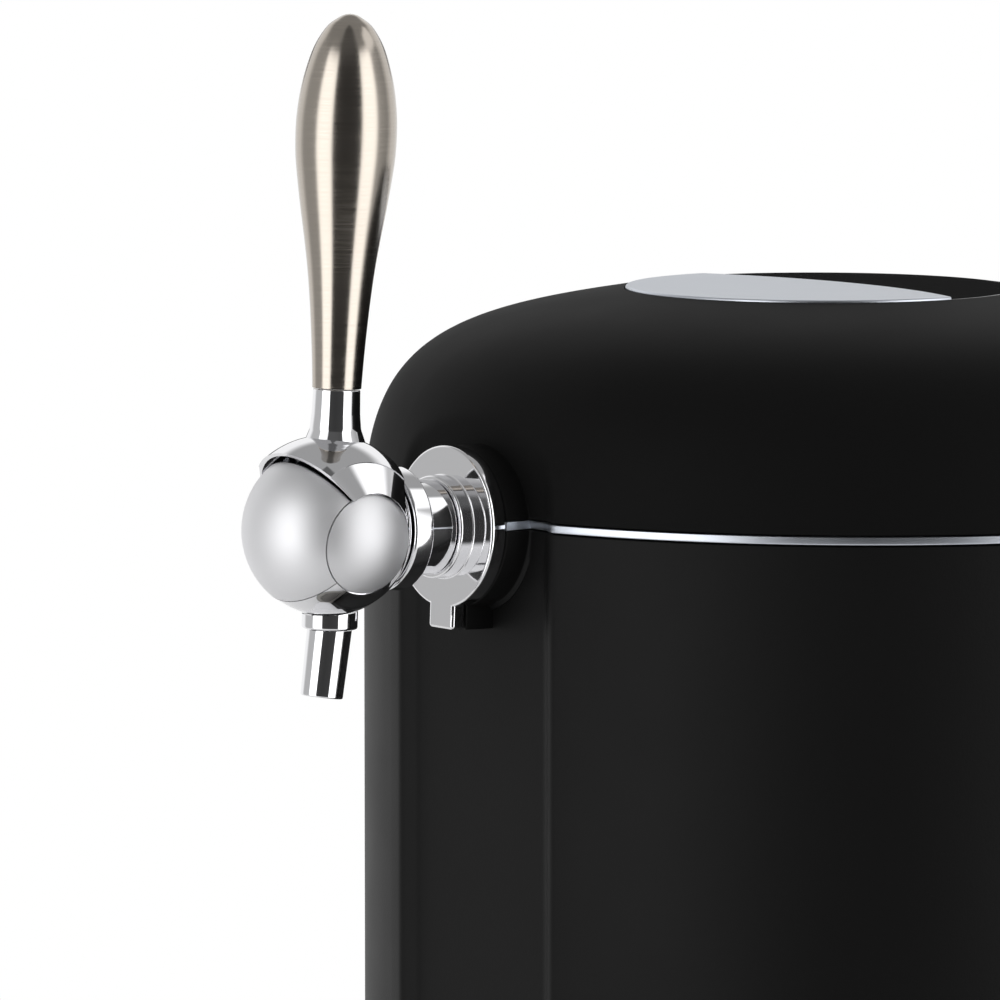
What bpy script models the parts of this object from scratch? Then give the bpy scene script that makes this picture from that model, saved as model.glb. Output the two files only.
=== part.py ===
"""Countertop draught dispenser for a standard five-litre keg.

Metres, +Z up, -Y is the front where the tap is. The upright axis of the round
body is the Z axis, and the feet stand at Z = 0.
"""

from math import asin, cos, degrees, hypot, pi, radians, sin, sqrt, tan

import bmesh
import bpy
from mathutils import Matrix, Vector

# Fits
GAP = 0.0003
RUNNING_GAP = 0.0006
OVERRUN = 0.010
MERGE_DISTANCE = 0.00002

# Body
BODY_RADIUS = 0.137
PARTING_Z = 0.300
WALL = 0.003
FOOT_HEIGHT = 0.004
FOOT_RADIUS = 0.010
FOOT_INSET = 0.025
BASE_THICKNESS = 0.003
TRIM_HEIGHT = 0.0022
TRIM_WIDTH = 0.006
RIM_THICKNESS = 0.003

# Flat front panel with its raised boss for the tap
PANEL_CUT = 0.0064
PANEL_HALF_WIDTH = 0.0315
PANEL_TOP_RISE = 0.032
PANEL_CORNER_RADIUS = 0.020
BOSS_RADIUS = 0.0219
BOSS_RISE = 0.0079
KEY_WIDTH = 0.0105
KEY_DROP = 0.0278

# Keg chamber
CHAMBER_WALL = 0.0485
LINER_WALL = 0.0015
FOAM_WALL = 0.0205
FOAM_FLOOR = 0.022

# Lid
DOME_SPRING_DROP = 0.0066
DOME_SIDE_PULL = 0.0507
DOME_TOP_PULL = 0.0525
DOME_TOP_DROP = 0.0078
DOME_LEAN_SHARE = 0.134
TOP_INSET = 0.0820
TOP_RISE = 0.0569
PANEL_RECESS = 0.0022
SILVER_PROUD = 0.0007
SILVER_EDGE_SETBACK = 0.0007
SILVER_EDGE_RADIUS = 0.145
SEAL_THICKNESS = 0.0040
SEAL_WIDTH = 0.0060
SEAL_INSET = 0.0015
DISH_RISE = 0.0330
DISH_INSET = 0.0165
CHANNEL_RISE = 0.0225
CHANNEL_INSET = 0.0100
CHANNEL_TAPER = 0.0058
SKIRT_CLEARANCE = 0.0032
LID_LINER_WALL = 0.0018
LID_FOAM_MARGIN = 0.0050
BOARD_THICKNESS = 0.0016
TOUCH_BOARD_INSET = 0.020
TOUCH_BOARD_TRIM = 0.025
TOUCH_BOARD_SETBACK = 0.013

# Hinge of the lid
KNUCKLE_RADIUS = 0.0060
KNUCKLE_CLEARANCE = 0.0025
HINGE_HALF_WIDTH = 0.030
EAR_WIDTH = 0.010
HINGE_PIN_RADIUS = 0.0020
HINGE_HOLE_RADIUS = 0.0023
BRACKET_HEIGHT = 0.016
LEAF_HEIGHT = 0.020
LEAF_FOOT = 0.0035
LEAF_REACH = 0.0120

# Tap, measured along its axis and out from it
TAP_STANDOFF = 0.0435
TAP_TILT = 2.3
BALL_RADIUS = 0.0229
CAP_SHELL = 0.0020
PIVOT_CAP_RADIUS = 0.0133
PIVOT_CAP_DROP = 0.0020
PIVOT_CAP_ROOT = 0.0160
FRONT_CAP_ANGLE = 53.6
SHANK_RADIUS = 0.0110
SHANK_TAIL = 0.0151
NUT_RADIUS = 0.0145
NUT_THICKNESS = 0.0050
FLANGE_RADIUS = 0.0219
FLANGE_THICKNESS = 0.0046
STEP_RADIUS = 0.0139
STEP_LENGTH = 0.0044
BARREL_RADIUS = 0.0129
RING_RADIUS = 0.0168
RING_SETBACK = 0.0172
RING_LENGTH = 0.0061
BEER_BORE_RADIUS = 0.0020
BEER_BORE_DROP = 0.0065
BEER_BORE_RISE = 0.0050
BEER_BORE_RUN = 0.0225
VALVE_BORE_RADIUS = 0.0036
VALVE_BORE_TOP = 0.0040
COLLAR_RADIUS = 0.0075
COLLAR_TOP = 0.0200
COLLAR_BOTTOM = 0.0263
NOZZLE_SETBACK = 0.0017
NOZZLE_LEAN = 6.2
NOZZLE_TOP_RADIUS = 0.0060
NOZZLE_TIP_RADIUS = 0.0057
NOZZLE_BORE_RADIUS = 0.0042
NOZZLE_LENGTH = 0.0182
STEM_RADIUS = 0.0016
STEM_HEAD_RADIUS = 0.0026
STEM_TOP = 0.0082
STEM_BOTTOM = 0.0190
STEM_HEAD_LENGTH = 0.0030
SEAL_RING_RADIUS = 0.0033
SEAL_RING_HEIGHT = 0.0020
SEAL_RING_DROP = 0.0125

# Lever
HOOD_INNER_RADIUS = 0.0235
HOOD_RADIUS = 0.0256
HOOD_FRONT_ANGLE = 54.7
HOOD_REAR_SETBACK = 0.0085
HOOD_REAR_ANGLE = 17.0
HOOD_EYE_RADIUS = 0.0126
HOOD_EYE_DEPTH = 0.0206
HOOD_FLARE_RADIUS = 0.0196
HOOD_FLARE_DEPTH = 0.0162
PIVOT_PIN_RADIUS = 0.0020
PIVOT_HOLE_RADIUS = 0.0023
LEVER_EYE_RADIUS = 0.0046
LEVER_ROD_RADIUS = 0.0029
LEVER_SLOT_HALF_WIDTH = 0.0033
LEVER_TRAVEL = 30.0
SLOT_MARGIN_ANGLE = 1.5
LEVER_SETBACK = 0.0014
LEVER_LEAN = 0.5
NECK_BASE = 0.0246
NECK_TOP = 0.0378
NECK_TOP_RADIUS = 0.0063
NECK_WAIST_RADIUS = 0.0065
NECK_FOOT_RADIUS = 0.0090
HANDLE_LENGTH = 0.0995
HANDLE_RADIUS = 0.0135
HANDLE_BORE_DEPTH = 0.012
NECK_SPIGOT_RADIUS = 0.0040
NECK_SPIGOT_LENGTH = 0.010

# Beer line, parked on the rim of the chamber
HOSE_RADIUS = 0.0040
HOSE_SPACING = 0.0190
ELBOW_HALF_WIDTH = 0.0065
ELBOW_DEPTH = 0.0090
ELBOW_HEIGHT = 0.0090
COUPLER_RADIUS = 0.0085
COUPLER_HEIGHT = 0.0200
COUPLER_BORE_RADIUS = 0.0050
COUPLER_POST_RADIUS = 0.0046
COUPLER_POST_HEIGHT = 0.0060
COUPLER_ANGLE = 210.0

# Drip tray
TRAY_HALF_WIDTH = 0.058
TRAY_TOP = 0.0570
TRAY_WALL = 0.0026
TRAY_LIP = 0.0012
TRAY_CLEARANCE = 0.0012
TRAY_FLOOR = 0.0030
GRID_THICKNESS = 0.0020
GRID_LEDGE_DEPTH = 0.0026
GRID_SLOT_WIDTH = 0.0042
GRID_SLOT_PITCH = 0.0085
GRID_SLOT_MARGIN = 0.0110
GRID_REAR_MARGIN = 0.0120
DOCK_THICKNESS = 0.0027
DOCK_HALF_WIDTH = 0.040
DOCK_SETBACK = 0.020
DOCK_HOLD = 0.037
DOCK_RUNNER_WIDTH = 0.008
DOCK_RUNNER_LENGTH = 0.060
DOCK_RUNNER_SPREAD = 0.034

# Cooling unit behind the chamber
COOL_Z = 0.165
COLD_BLOCK_HALF_WIDTH = 0.025
COLD_BLOCK_DEPTH = 0.0230
PELTIER_HALF_WIDTH = 0.020
PELTIER_THICKNESS = 0.0038
SINK_HALF_WIDTH = 0.045
SINK_BASE = 0.0050
SINK_DEPTH = 0.038
FIN_THICKNESS = 0.0020
FIN_COUNT = 12
FAN_HALF_WIDTH = 0.046
FAN_DEPTH = 0.025
FAN_BORE_RADIUS = 0.0435
FAN_BLADE_RADIUS = 0.0420
FAN_HUB_RADIUS = 0.0170
FAN_HUB_DEPTH = 0.0170
FAN_PLATE = 0.0030
FAN_STRUT_WIDTH = 0.0050
FAN_SHAFT_RADIUS = 0.0020
FAN_SHAFT_HOLE_RADIUS = 0.0024
BLADE_COUNT = 7
BLADE_THICKNESS = 0.0014
BLADE_CHORD = 0.0180
BLADE_PITCH = 38.0

# Rear housing
HOUSING_HALF_WIDTH = 0.078
HOUSING_BOTTOM = 0.030
HOUSING_TOP = 0.262
HOUSING_WALL = 0.0025
HOUSING_CORNER_RADIUS = 0.022
HOUSING_BACK_STEP = 0.0015
HOUSING_GRIP = 0.042
FAN_ROOM = 0.0303
WINDOW_HALF_WIDTH = 0.052
WINDOW_HALF_HEIGHT = 0.052
VENT_COUNT = 9
VENT_PITCH = 0.0095
VENT_HEIGHT = 0.0045
VENT_HALF_WIDTH = 0.042
SIDE_VENT_COUNT = 7
SIDE_VENT_LENGTH = 0.070
SIDE_VENT_WIDTH = 0.0040
SIDE_VENT_PITCH = 0.0090
SIDE_VENT_LEAD = 0.0050
SCREW_SPREAD_X = 0.062
SCREW_INSET_Z = 0.016
SCREW_HEAD_RADIUS = 0.0035
SCREW_HEAD_HEIGHT = 0.0012
SCREW_SHAFT_RADIUS = 0.0015
SCREW_SHAFT_LENGTH = 0.0080
SCREW_HOLE_RADIUS = 0.0019

# Electrics low in the rear housing
POWER_BOARD_HALF_WIDTH = 0.045
POWER_BOARD_BOTTOM = 0.044
POWER_BOARD_TOP = 0.100
BOARD_STANDOFF = 0.0030
STANDOFF_RADIUS = 0.0030
STANDOFF_SPREAD = 0.036
CONVERTER_HALF_WIDTH = 0.014
CONVERTER_HEIGHT = 0.026
CONVERTER_DEPTH = 0.022
CAPACITOR_RADIUS = 0.008
CAPACITOR_HEIGHT = 0.020
CAPACITOR_OFFSET = 0.030
INLET_X = -0.034
SWITCH_X = 0.034
REAR_FITTINGS_Z = 0.066
INLET_HALF_WIDTH = 0.0140
INLET_HALF_HEIGHT = 0.0100
INLET_WALL = 0.0018
INLET_DEPTH = 0.0200
CONTACT_HALF_WIDTH = 0.0020
CONTACT_HALF_HEIGHT = 0.0010
CONTACT_SPREAD = 0.0070
CONTACT_LENGTH = 0.0130
SWITCH_HALF_WIDTH = 0.0080
SWITCH_HALF_HEIGHT = 0.0120
SWITCH_WALL = 0.0016
SWITCH_DEPTH = 0.0140
ROCKER_CLEARANCE = 0.0008
ROCKER_DEPTH = 0.0080
ROCKER_DISH = 0.0012
ROCKER_SINK = 0.0018
ROCKER_TILT = 8.0
ROCKER_PIN_RADIUS = 0.0010
ROCKER_HOLE_RADIUS = 0.0013
ROCKER_AXLE_ROOT = 0.0005

# Facets round a full turn
BODY_STEPS = 60
MIDDLE_STEPS = 36
SMALL_STEPS = 16
TINY_STEPS = 12
BALL_STEPS = 28
DOME_STEPS = 12
HOLLOW_DOME_STEPS = 6
TOP_EDGE_STEPS = 120
PANEL_CORNER_STEPS = 6
HOUSING_CORNER_STEPS = 8
TRAY_FRONT_STEPS = 20
WEDGE_STEPS = 8
HOSE_STEPS = 16

# Heights and depths that follow from the sizes above
BASE_BOTTOM = FOOT_HEIGHT + GAP
BASE_TOP = BASE_BOTTOM + BASE_THICKNESS
TRIM_BOTTOM = PARTING_Z - TRIM_HEIGHT / 2
CASING_TOP = TRIM_BOTTOM - GAP
LID_BOTTOM = PARTING_Z + TRIM_HEIGHT / 2 + GAP
RIM_BOTTOM = CASING_TOP - RIM_THICKNESS
FOAM_BOTTOM = BASE_TOP + GAP
LINER_BOTTOM = FOAM_BOTTOM + FOAM_FLOOR + GAP
LINER_TOP = RIM_BOTTOM - GAP
KEG_BORE_RADIUS = BODY_RADIUS - CHAMBER_WALL
LINER_RADIUS = KEG_BORE_RADIUS + LINER_WALL
FOAM_INNER_RADIUS = LINER_RADIUS + GAP
FOAM_RADIUS = FOAM_INNER_RADIUS + FOAM_WALL
INNER_RADIUS = BODY_RADIUS - WALL
PANEL_DEPTH = BODY_RADIUS - PANEL_CUT
PANEL_BACK = PANEL_DEPTH - WALL
BOSS_DEPTH = PANEL_DEPTH + BOSS_RISE
FOOT_CIRCLE = BODY_RADIUS - FOOT_INSET
HOSE_CIRCLE = KEG_BORE_RADIUS + HOSE_SPACING
DOME_TOP = PARTING_Z + TOP_RISE
RECESS_FLOOR = DOME_TOP - PANEL_RECESS
SHELL_ROOF = RECESS_FLOOR - WALL
DISH_RADIUS = KEG_BORE_RADIUS - DISH_INSET
CHANNEL_INNER_RADIUS = KEG_BORE_RADIUS + CHANNEL_INSET
SKIRT_RADIUS = INNER_RADIUS - SKIRT_CLEARANCE
CHANNEL_OUTER_RADIUS = SKIRT_RADIUS - CHANNEL_TAPER
TOP_RADIUS = BODY_RADIUS - TOP_INSET
SHANK_HOLE_RADIUS = SHANK_RADIUS + GAP
SHANK_END = PANEL_BACK - SHANK_TAIL
BEER_BORE_BEND = SHANK_END + BEER_BORE_RUN
FLANGE_BACK = BOSS_DEPTH + GAP
FLANGE_FRONT = FLANGE_BACK + FLANGE_THICKNESS
STEP_FRONT = FLANGE_FRONT + STEP_LENGTH
TAP_REACH = BOSS_DEPTH + TAP_STANDOFF
RING_FRONT = TAP_REACH - RING_SETBACK
RING_BACK = RING_FRONT - RING_LENGTH
HINGE_Y = BODY_RADIUS + KNUCKLE_RADIUS + KNUCKLE_CLEARANCE
COLD_BLOCK_BACK = LINER_RADIUS + COLD_BLOCK_DEPTH
PELTIER_BACK = COLD_BLOCK_BACK + GAP + PELTIER_THICKNESS
SINK_FRONT = PELTIER_BACK + GAP
SINK_BACK = SINK_FRONT + SINK_DEPTH
FAN_FRONT = SINK_BACK + GAP
FAN_BACK = FAN_FRONT + FAN_DEPTH
HOUSING_ROOT = BODY_RADIUS - HOUSING_GRIP
HOUSING_INSIDE = FAN_BACK + FAN_ROOM
HOUSING_BACK = HOUSING_INSIDE + HOUSING_WALL
HALF_DEPTH = HOUSING_BACK + HOUSING_BACK_STEP
SIDE_VENT_START = BODY_RADIUS - SIDE_VENT_LEAD
POWER_BOARD_FRONT = BODY_RADIUS + BOARD_STANDOFF
TRAY_CENTRE_Y = TRAY_HALF_WIDTH - HALF_DEPTH
DOCK_FRONT = HALF_DEPTH - DOCK_SETBACK
DOCK_BACK = BODY_RADIUS - DOCK_HOLD
TOP_CENTRE_Y = DOME_LEAN_SHARE * (TOP_RADIUS - BODY_RADIUS)
BALL_CENTRE = (0.0, -TAP_REACH, PARTING_Z)

# Outline of the grip from its top down: place along it and radius, as shares
HANDLE_OUTLINE_SHARES = (
    (0.012, 0.24), (0.030, 0.42), (0.060, 0.58), (0.095, 0.71), (0.140, 0.82), (0.190, 0.91),
    (0.250, 0.975), (0.310, 1.0), (0.380, 0.985), (0.450, 0.925), (0.520, 0.85), (0.600, 0.755),
    (0.680, 0.67), (0.760, 0.605), (0.840, 0.555), (0.920, 0.515), (1.0, 0.485),
)

# Finishes: colour, roughness and metallic value
MATTE_BLACK = ((0.011, 0.011, 0.012), 0.45, 0.0)
GLOSS_BLACK = ((0.004, 0.004, 0.005), 0.08, 0.0)
SATIN_SILVER = ((0.47, 0.50, 0.54), 0.35, 0.9)
CHROME = ((0.80, 0.80, 0.82), 0.07, 1.0)
SATIN_CHROME = ((0.62, 0.62, 0.64), 0.28, 1.0)
BRUSHED_STEEL = ((0.45, 0.42, 0.39), 0.30, 1.0)
STEEL = ((0.55, 0.55, 0.56), 0.35, 1.0)
ALUMINIUM = ((0.72, 0.73, 0.74), 0.40, 1.0)
BLACK_RUBBER = ((0.015, 0.015, 0.016), 0.85, 0.0)
GREY_PLASTIC = ((0.16, 0.17, 0.18), 0.50, 0.0)
WHITE_CERAMIC = ((0.85, 0.85, 0.83), 0.50, 0.0)
FOAM = ((0.80, 0.76, 0.66), 0.90, 0.0)
CIRCUIT_GREEN = ((0.02, 0.16, 0.06), 0.45, 0.0)
CLEAR_HOSE = ((0.75, 0.78, 0.80), 0.30, 0.0)
BLACK_PLASTIC = ((0.020, 0.020, 0.021), 0.55, 0.0)


def fresh_collection(name):
    """An empty collection in the scene."""
    group = bpy.data.collections.new(name)
    bpy.context.scene.collection.children.link(group)
    return group


for leftover in list(bpy.data.objects):
    bpy.data.objects.remove(leftover)
PARTS = fresh_collection("draft_beer_dispenser")
CUTTERS = fresh_collection("cutters")


def put(name, mesh, group):
    """An object of a mesh, in the parts or among the cutters."""
    thing = bpy.data.objects.new(name, mesh)
    group.objects.link(thing)
    if group is CUTTERS:
        thing.hide_render = True
        thing.display_type = "WIRE"
    return thing


def pivot(name, location, parent=None, tilt=0.0):
    """An empty that pieces hang on, tilted about X by an angle in degrees."""
    empty = bpy.data.objects.new(name, None)
    PARTS.objects.link(empty)
    empty.location = location
    empty.rotation_euler = (radians(tilt), 0.0, 0.0)
    empty.parent = parent
    return empty


def place(thing, parent=None, location=(0.0, 0.0, 0.0), turn=(0.0, 0.0, 0.0)):
    """Hang a piece on its parent, moved and turned by angles in degrees."""
    thing.parent = parent
    thing.location = location
    thing.rotation_euler = [radians(angle) for angle in turn]
    return thing


def block(name, low, high, group=CUTTERS):
    """A box from its low corner to its high corner."""
    low, high = Vector(low), Vector(high)
    mesh = bpy.data.meshes.new(name)
    work = bmesh.new()
    bmesh.ops.create_cube(work, size=1.0)
    size = Matrix.Diagonal((*(high - low), 1.0))
    bmesh.ops.transform(work, matrix=Matrix.Translation((low + high) / 2) @ size, verts=work.verts)
    work.to_mesh(mesh)
    work.free()
    return put(name, mesh, group)


def blocks(name, corners, group=CUTTERS):
    """Several boxes that stand apart, as one cutter."""
    mesh = bpy.data.meshes.new(name)
    work = bmesh.new()
    for low, high in corners:
        low, high = Vector(low), Vector(high)
        made = bmesh.ops.create_cube(work, size=1.0)["verts"]
        size = Matrix.Diagonal((*(high - low), 1.0))
        bmesh.ops.transform(work, matrix=Matrix.Translation((low + high) / 2) @ size, verts=made)
    work.to_mesh(mesh)
    work.free()
    return put(name, mesh, group)


def rod(name, radius, start, end, sides=SMALL_STEPS, group=CUTTERS):
    """A cylinder from one point to another."""
    start, end = Vector(start), Vector(end)
    along = end - start
    mesh = bpy.data.meshes.new(name)
    work = bmesh.new()
    bmesh.ops.create_cone(
        work, cap_ends=True, segments=sides, radius1=radius, radius2=radius, depth=along.length
    )
    turn = along.to_track_quat("Z", "Y").to_matrix().to_4x4()
    bmesh.ops.transform(work, matrix=Matrix.Translation((start + end) / 2) @ turn, verts=work.verts)
    work.to_mesh(mesh)
    work.free()
    return put(name, mesh, group)


def ball(name, radius, group=CUTTERS):
    """A sphere round its own origin, with its poles on X."""
    mesh = bpy.data.meshes.new(name)
    work = bmesh.new()
    bmesh.ops.create_uvsphere(
        work, u_segments=BALL_STEPS, v_segments=BALL_STEPS // 2, radius=radius
    )
    bmesh.ops.transform(work, matrix=Matrix.Rotation(pi / 2, 4, "Y"), verts=work.verts)
    work.to_mesh(mesh)
    work.free()
    return put(name, mesh, group)


def turned(name, outline, sides=MIDDLE_STEPS, group=CUTTERS, closed=False):
    """A turned shape: radius and height points, outer side top to bottom."""
    mesh = bpy.data.meshes.new(name)
    work = bmesh.new()
    points = [work.verts.new((radius, 0.0, height)) for radius, height in outline]
    for first, second in zip(points, points[1:]):
        work.edges.new((first, second))
    if closed:
        work.edges.new((points[-1], points[0]))
    work.to_mesh(mesh)
    work.free()
    thing = put(name, mesh, group)
    screw = thing.modifiers.new("turn", "SCREW")
    screw.axis = "Z"
    screw.steps = sides
    screw.render_steps = sides
    screw.use_merge_vertices = True
    screw.merge_threshold = MERGE_DISTANCE
    return thing


def extruded(name, outline, low, high, group=CUTTERS):
    """A flat outline in X and Y, given its height from low to high."""
    curve = bpy.data.curves.new(name, "CURVE")
    curve.dimensions = "2D"
    curve.fill_mode = "BOTH"
    curve.extrude = (high - low) / 2
    spline = curve.splines.new("POLY")
    spline.points.add(len(outline) - 1)
    for point, (x, y) in zip(spline.points, outline):
        point.co = (x, y, 0.0, 1.0)
    spline.use_cyclic_u = True
    drawn = bpy.data.objects.new(name + "_outline", curve)
    PARTS.objects.link(drawn)
    mesh = bpy.data.meshes.new_from_object(
        drawn.evaluated_get(bpy.context.evaluated_depsgraph_get())
    )
    bpy.data.objects.remove(drawn)
    work = bmesh.new()
    work.from_mesh(mesh)
    bmesh.ops.remove_doubles(work, verts=work.verts, dist=MERGE_DISTANCE)
    bmesh.ops.recalc_face_normals(work, faces=work.faces)
    bmesh.ops.translate(work, vec=(0.0, 0.0, (low + high) / 2), verts=work.verts)
    work.to_mesh(mesh)
    work.free()
    return put(name, mesh, group)


def boolean(target, operation, tools):
    """Boolean modifiers of one kind on a piece, in order."""
    for tool in tools:
        step = target.modifiers.new(tool.name, "BOOLEAN")
        step.operation = operation
        step.object = tool
    return target


def cut(target, *tools):
    """Take the tools' shapes out of a piece."""
    return boolean(target, "DIFFERENCE", tools)


def join(target, *tools):
    """Add the tools' shapes to a piece."""
    return boolean(target, "UNION", tools)


def keep(target, *tools):
    """Leave only what lies in every tool."""
    return boolean(target, "INTERSECT", tools)


def finish(thing, look):
    """Give a piece its own material."""
    colour, roughness, metallic = look
    material = bpy.data.materials.new(thing.name + "_finish")
    material.use_nodes = True
    shader = material.node_tree.nodes["Principled BSDF"]
    shader.inputs["Base Color"].default_value = (*colour, 1.0)
    shader.inputs["Roughness"].default_value = roughness
    shader.inputs["Metallic"].default_value = metallic
    material.diffuse_color = (*colour, 1.0)
    thing.data.materials.clear()
    thing.data.materials.append(material)
    return thing


def arc(radius, start, end, steps, centre=(0.0, 0.0)):
    """Points on an arc, by angles in degrees, both ends among them."""
    angles = [radians(start + (end - start) * step / steps) for step in range(steps + 1)]
    return [(centre[0] + radius * cos(a), centre[1] + radius * sin(a)) for a in angles]


def panel_outline(margin=0.0):
    """Outline of the flat front panel in X and height, rounded at its top."""
    half = PANEL_HALF_WIDTH - margin
    corner = PANEL_CORNER_RADIUS - margin
    centre = (half - corner, PARTING_Z + PANEL_TOP_RISE - margin - corner)
    right = arc(corner, 0.0, 90.0, PANEL_CORNER_STEPS, centre)
    left = arc(corner, 90.0, 180.0, PANEL_CORNER_STEPS, (-centre[0], centre[1]))
    return [(half, -OVERRUN)] + right + left + [(-half, -OVERRUN)]


def panel_pocket():
    """Cutter that leaves the flat panel in the round front."""
    pocket = extruded("panel_pocket", panel_outline(), PANEL_DEPTH, BODY_RADIUS + OVERRUN)
    return place(pocket, turn=(90.0, 0.0, 0.0))


def front_slab(name, depth, low=-OVERRUN, high=DOME_TOP + OVERRUN):
    """A slab in front of a depth, over the whole width."""
    wide = BODY_RADIUS + OVERRUN
    return block(name, (-wide, -wide - OVERRUN, low), (wide, -depth, high))


def tap_axis(name):
    """An empty whose Z axis runs out along the tap's slightly raised axis."""
    slope = radians(TAP_TILT)
    foot = (0.0, TAP_REACH * (cos(slope) - 1.0), PARTING_Z - TAP_REACH * sin(slope))
    return pivot(name, foot, tilt=90.0 - TAP_TILT)


def tap_bore(name, radius):
    """A round hole along the tap's axis, through the front wall."""
    bore = rod(name, radius, (0, 0, SHANK_END - OVERRUN), (0, 0, BOSS_DEPTH + OVERRUN), MIDDLE_STEPS)
    return place(bore, tap_axis(name + "_axis"))


def dome_outline(inset, top, steps):
    """Side and top of the lid as a curve, drawn in by an inset, top last."""
    start = Vector((BODY_RADIUS - inset, PARTING_Z - DOME_SPRING_DROP))
    end = Vector((TOP_RADIUS, top))
    side = start + Vector((0.0, DOME_SIDE_PULL - inset))
    over = end + Vector((DOME_TOP_PULL - inset, -DOME_TOP_DROP))
    points = []
    for step in range(steps + 1):
        t = step / steps
        u = 1.0 - t
        point = start * u ** 3 + side * 3 * u * u * t + over * 3 * u * t * t + end * t ** 3
        points.append(tuple(point))
    return points


def dome(name, inset, top, low, steps, sides, group=CUTTERS):
    """The lid's outer or inner form as a solid, drawn forward as it narrows."""
    curve = dome_outline(inset, top, steps)
    outline = [(0.0, top)] + curve[::-1] + [(curve[0][0], low), (0.0, low)]
    form = turned(name, outline, sides, group)
    mesh = bpy.data.meshes.new_from_object(
        form.evaluated_get(bpy.context.evaluated_depsgraph_get())
    )
    form.modifiers.clear()
    form.data = mesh
    for vertex in mesh.vertices:
        narrowing = BODY_RADIUS - inset - hypot(vertex.co.x, vertex.co.y)
        vertex.co.y -= DOME_LEAN_SHARE * narrowing
    return form


def boss(name, low, high):
    """The round boss on the panel, between two heights."""
    round_part = rod(name, BOSS_RADIUS, (0, 0, PANEL_BACK), (0, 0, BOSS_DEPTH), MIDDLE_STEPS)
    place(round_part, tap_axis(name + "_axis"))
    half = BOSS_RADIUS + OVERRUN
    band = block(name + "_band", (-half, -BOSS_DEPTH - OVERRUN, low), (half, 0.0, high))
    return keep(round_part, band)


def outer_casing():
    """Round black casing with the flat panel and the lower half of the boss."""
    casing = rod("outer_casing", BODY_RADIUS, (0, 0, BASE_BOTTOM), (0, 0, CASING_TOP), BODY_STEPS, PARTS)
    key = block(
        "boss_key", (-KEY_WIDTH / 2, -KEY_DROP, PANEL_BACK), (KEY_WIDTH / 2, WALL - BOSS_RADIUS, BOSS_DEPTH)
    )
    place(key, tap_axis("boss_key_axis"))
    hollow = rod("casing_hollow", INNER_RADIUS, (0, 0, -OVERRUN), (0, 0, PARTING_Z + OVERRUN), BODY_STEPS)
    cut(hollow, front_slab("casing_front_wall", PANEL_BACK, -2 * OVERRUN))
    window = block(
        "cooling_window",
        (-WINDOW_HALF_WIDTH, 0.0, COOL_Z - WINDOW_HALF_HEIGHT),
        (WINDOW_HALF_WIDTH, BODY_RADIUS + OVERRUN, COOL_Z + WINDOW_HALF_HEIGHT),
    )
    cut(casing, panel_pocket())
    join(casing, boss("lower_boss", PARTING_Z - BOSS_RADIUS - OVERRUN, CASING_TOP), key)
    cut(casing, hollow, tap_bore("lower_tap_bore", SHANK_HOLE_RADIUS), window)
    return finish(casing, MATTE_BLACK)


def trim_ring():
    """Silver strip between casing and lid, open where the tap passes."""
    top = PARTING_Z + TRIM_HEIGHT / 2
    ring = rod("trim_ring", BODY_RADIUS, (0, 0, TRIM_BOTTOM), (0, 0, top), BODY_STEPS, PARTS)
    face = front_slab("trim_front", PANEL_DEPTH)
    narrow = block(
        "trim_front_width",
        (-PANEL_HALF_WIDTH, -BODY_RADIUS - 2 * OVERRUN, TRIM_BOTTOM - OVERRUN),
        (PANEL_HALF_WIDTH, 0.0, top + OVERRUN),
    )
    keep(face, narrow)
    nose = block("trim_nose", (-BOSS_RADIUS, -BOSS_DEPTH, TRIM_BOTTOM), (BOSS_RADIUS, 0.0, top))
    inside = rod(
        "trim_inside", BODY_RADIUS - TRIM_WIDTH, (0, 0, TRIM_BOTTOM - OVERRUN), (0, 0, top + OVERRUN),
        BODY_STEPS,
    )
    cut(inside, front_slab("trim_inside_front", PANEL_BACK))
    passage = block(
        "trim_passage",
        (-SHANK_HOLE_RADIUS, -BOSS_DEPTH - OVERRUN, TRIM_BOTTOM - OVERRUN),
        (SHANK_HOLE_RADIUS, -SHANK_END, top + OVERRUN),
    )
    cut(ring, face)
    join(ring, nose)
    cut(ring, inside, passage)
    return finish(ring, SATIN_CHROME)


def round_plate(name, low, high):
    """A plate that fits inside the casing, flat at the front."""
    plate = rod(name, INNER_RADIUS - GAP, (0, 0, low), (0, 0, high), BODY_STEPS, PARTS)
    return cut(plate, front_slab(name + "_front", PANEL_BACK - GAP))


def coupler_place():
    """Where the keg coupler is parked on the rim."""
    angle = radians(COUPLER_ANGLE)
    return Vector((HOSE_CIRCLE * cos(angle), HOSE_CIRCLE * sin(angle), CASING_TOP))


def chamber_rim():
    """Grey plate round the mouth of the keg chamber, with the coupler's post."""
    rim = round_plate("chamber_rim", RIM_BOTTOM, CASING_TOP)
    mouth = rod(
        "rim_mouth", KEG_BORE_RADIUS, (0, 0, RIM_BOTTOM - OVERRUN), (0, 0, CASING_TOP + OVERRUN),
        MIDDLE_STEPS,
    )
    half = NUT_RADIUS + RUNNING_GAP
    notch = block(
        "rim_notch", (-half, -BODY_RADIUS, RIM_BOTTOM - OVERRUN),
        (half, -SHANK_END + GAP, CASING_TOP + OVERRUN),
    )
    spot = coupler_place()
    post = rod(
        "coupler_post", COUPLER_POST_RADIUS, spot - Vector((0, 0, RIM_THICKNESS / 2)),
        spot + Vector((0, 0, COUPLER_POST_HEIGHT)),
    )
    cut(rim, mouth, notch)
    join(rim, post)
    return finish(rim, GREY_PLASTIC)


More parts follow.
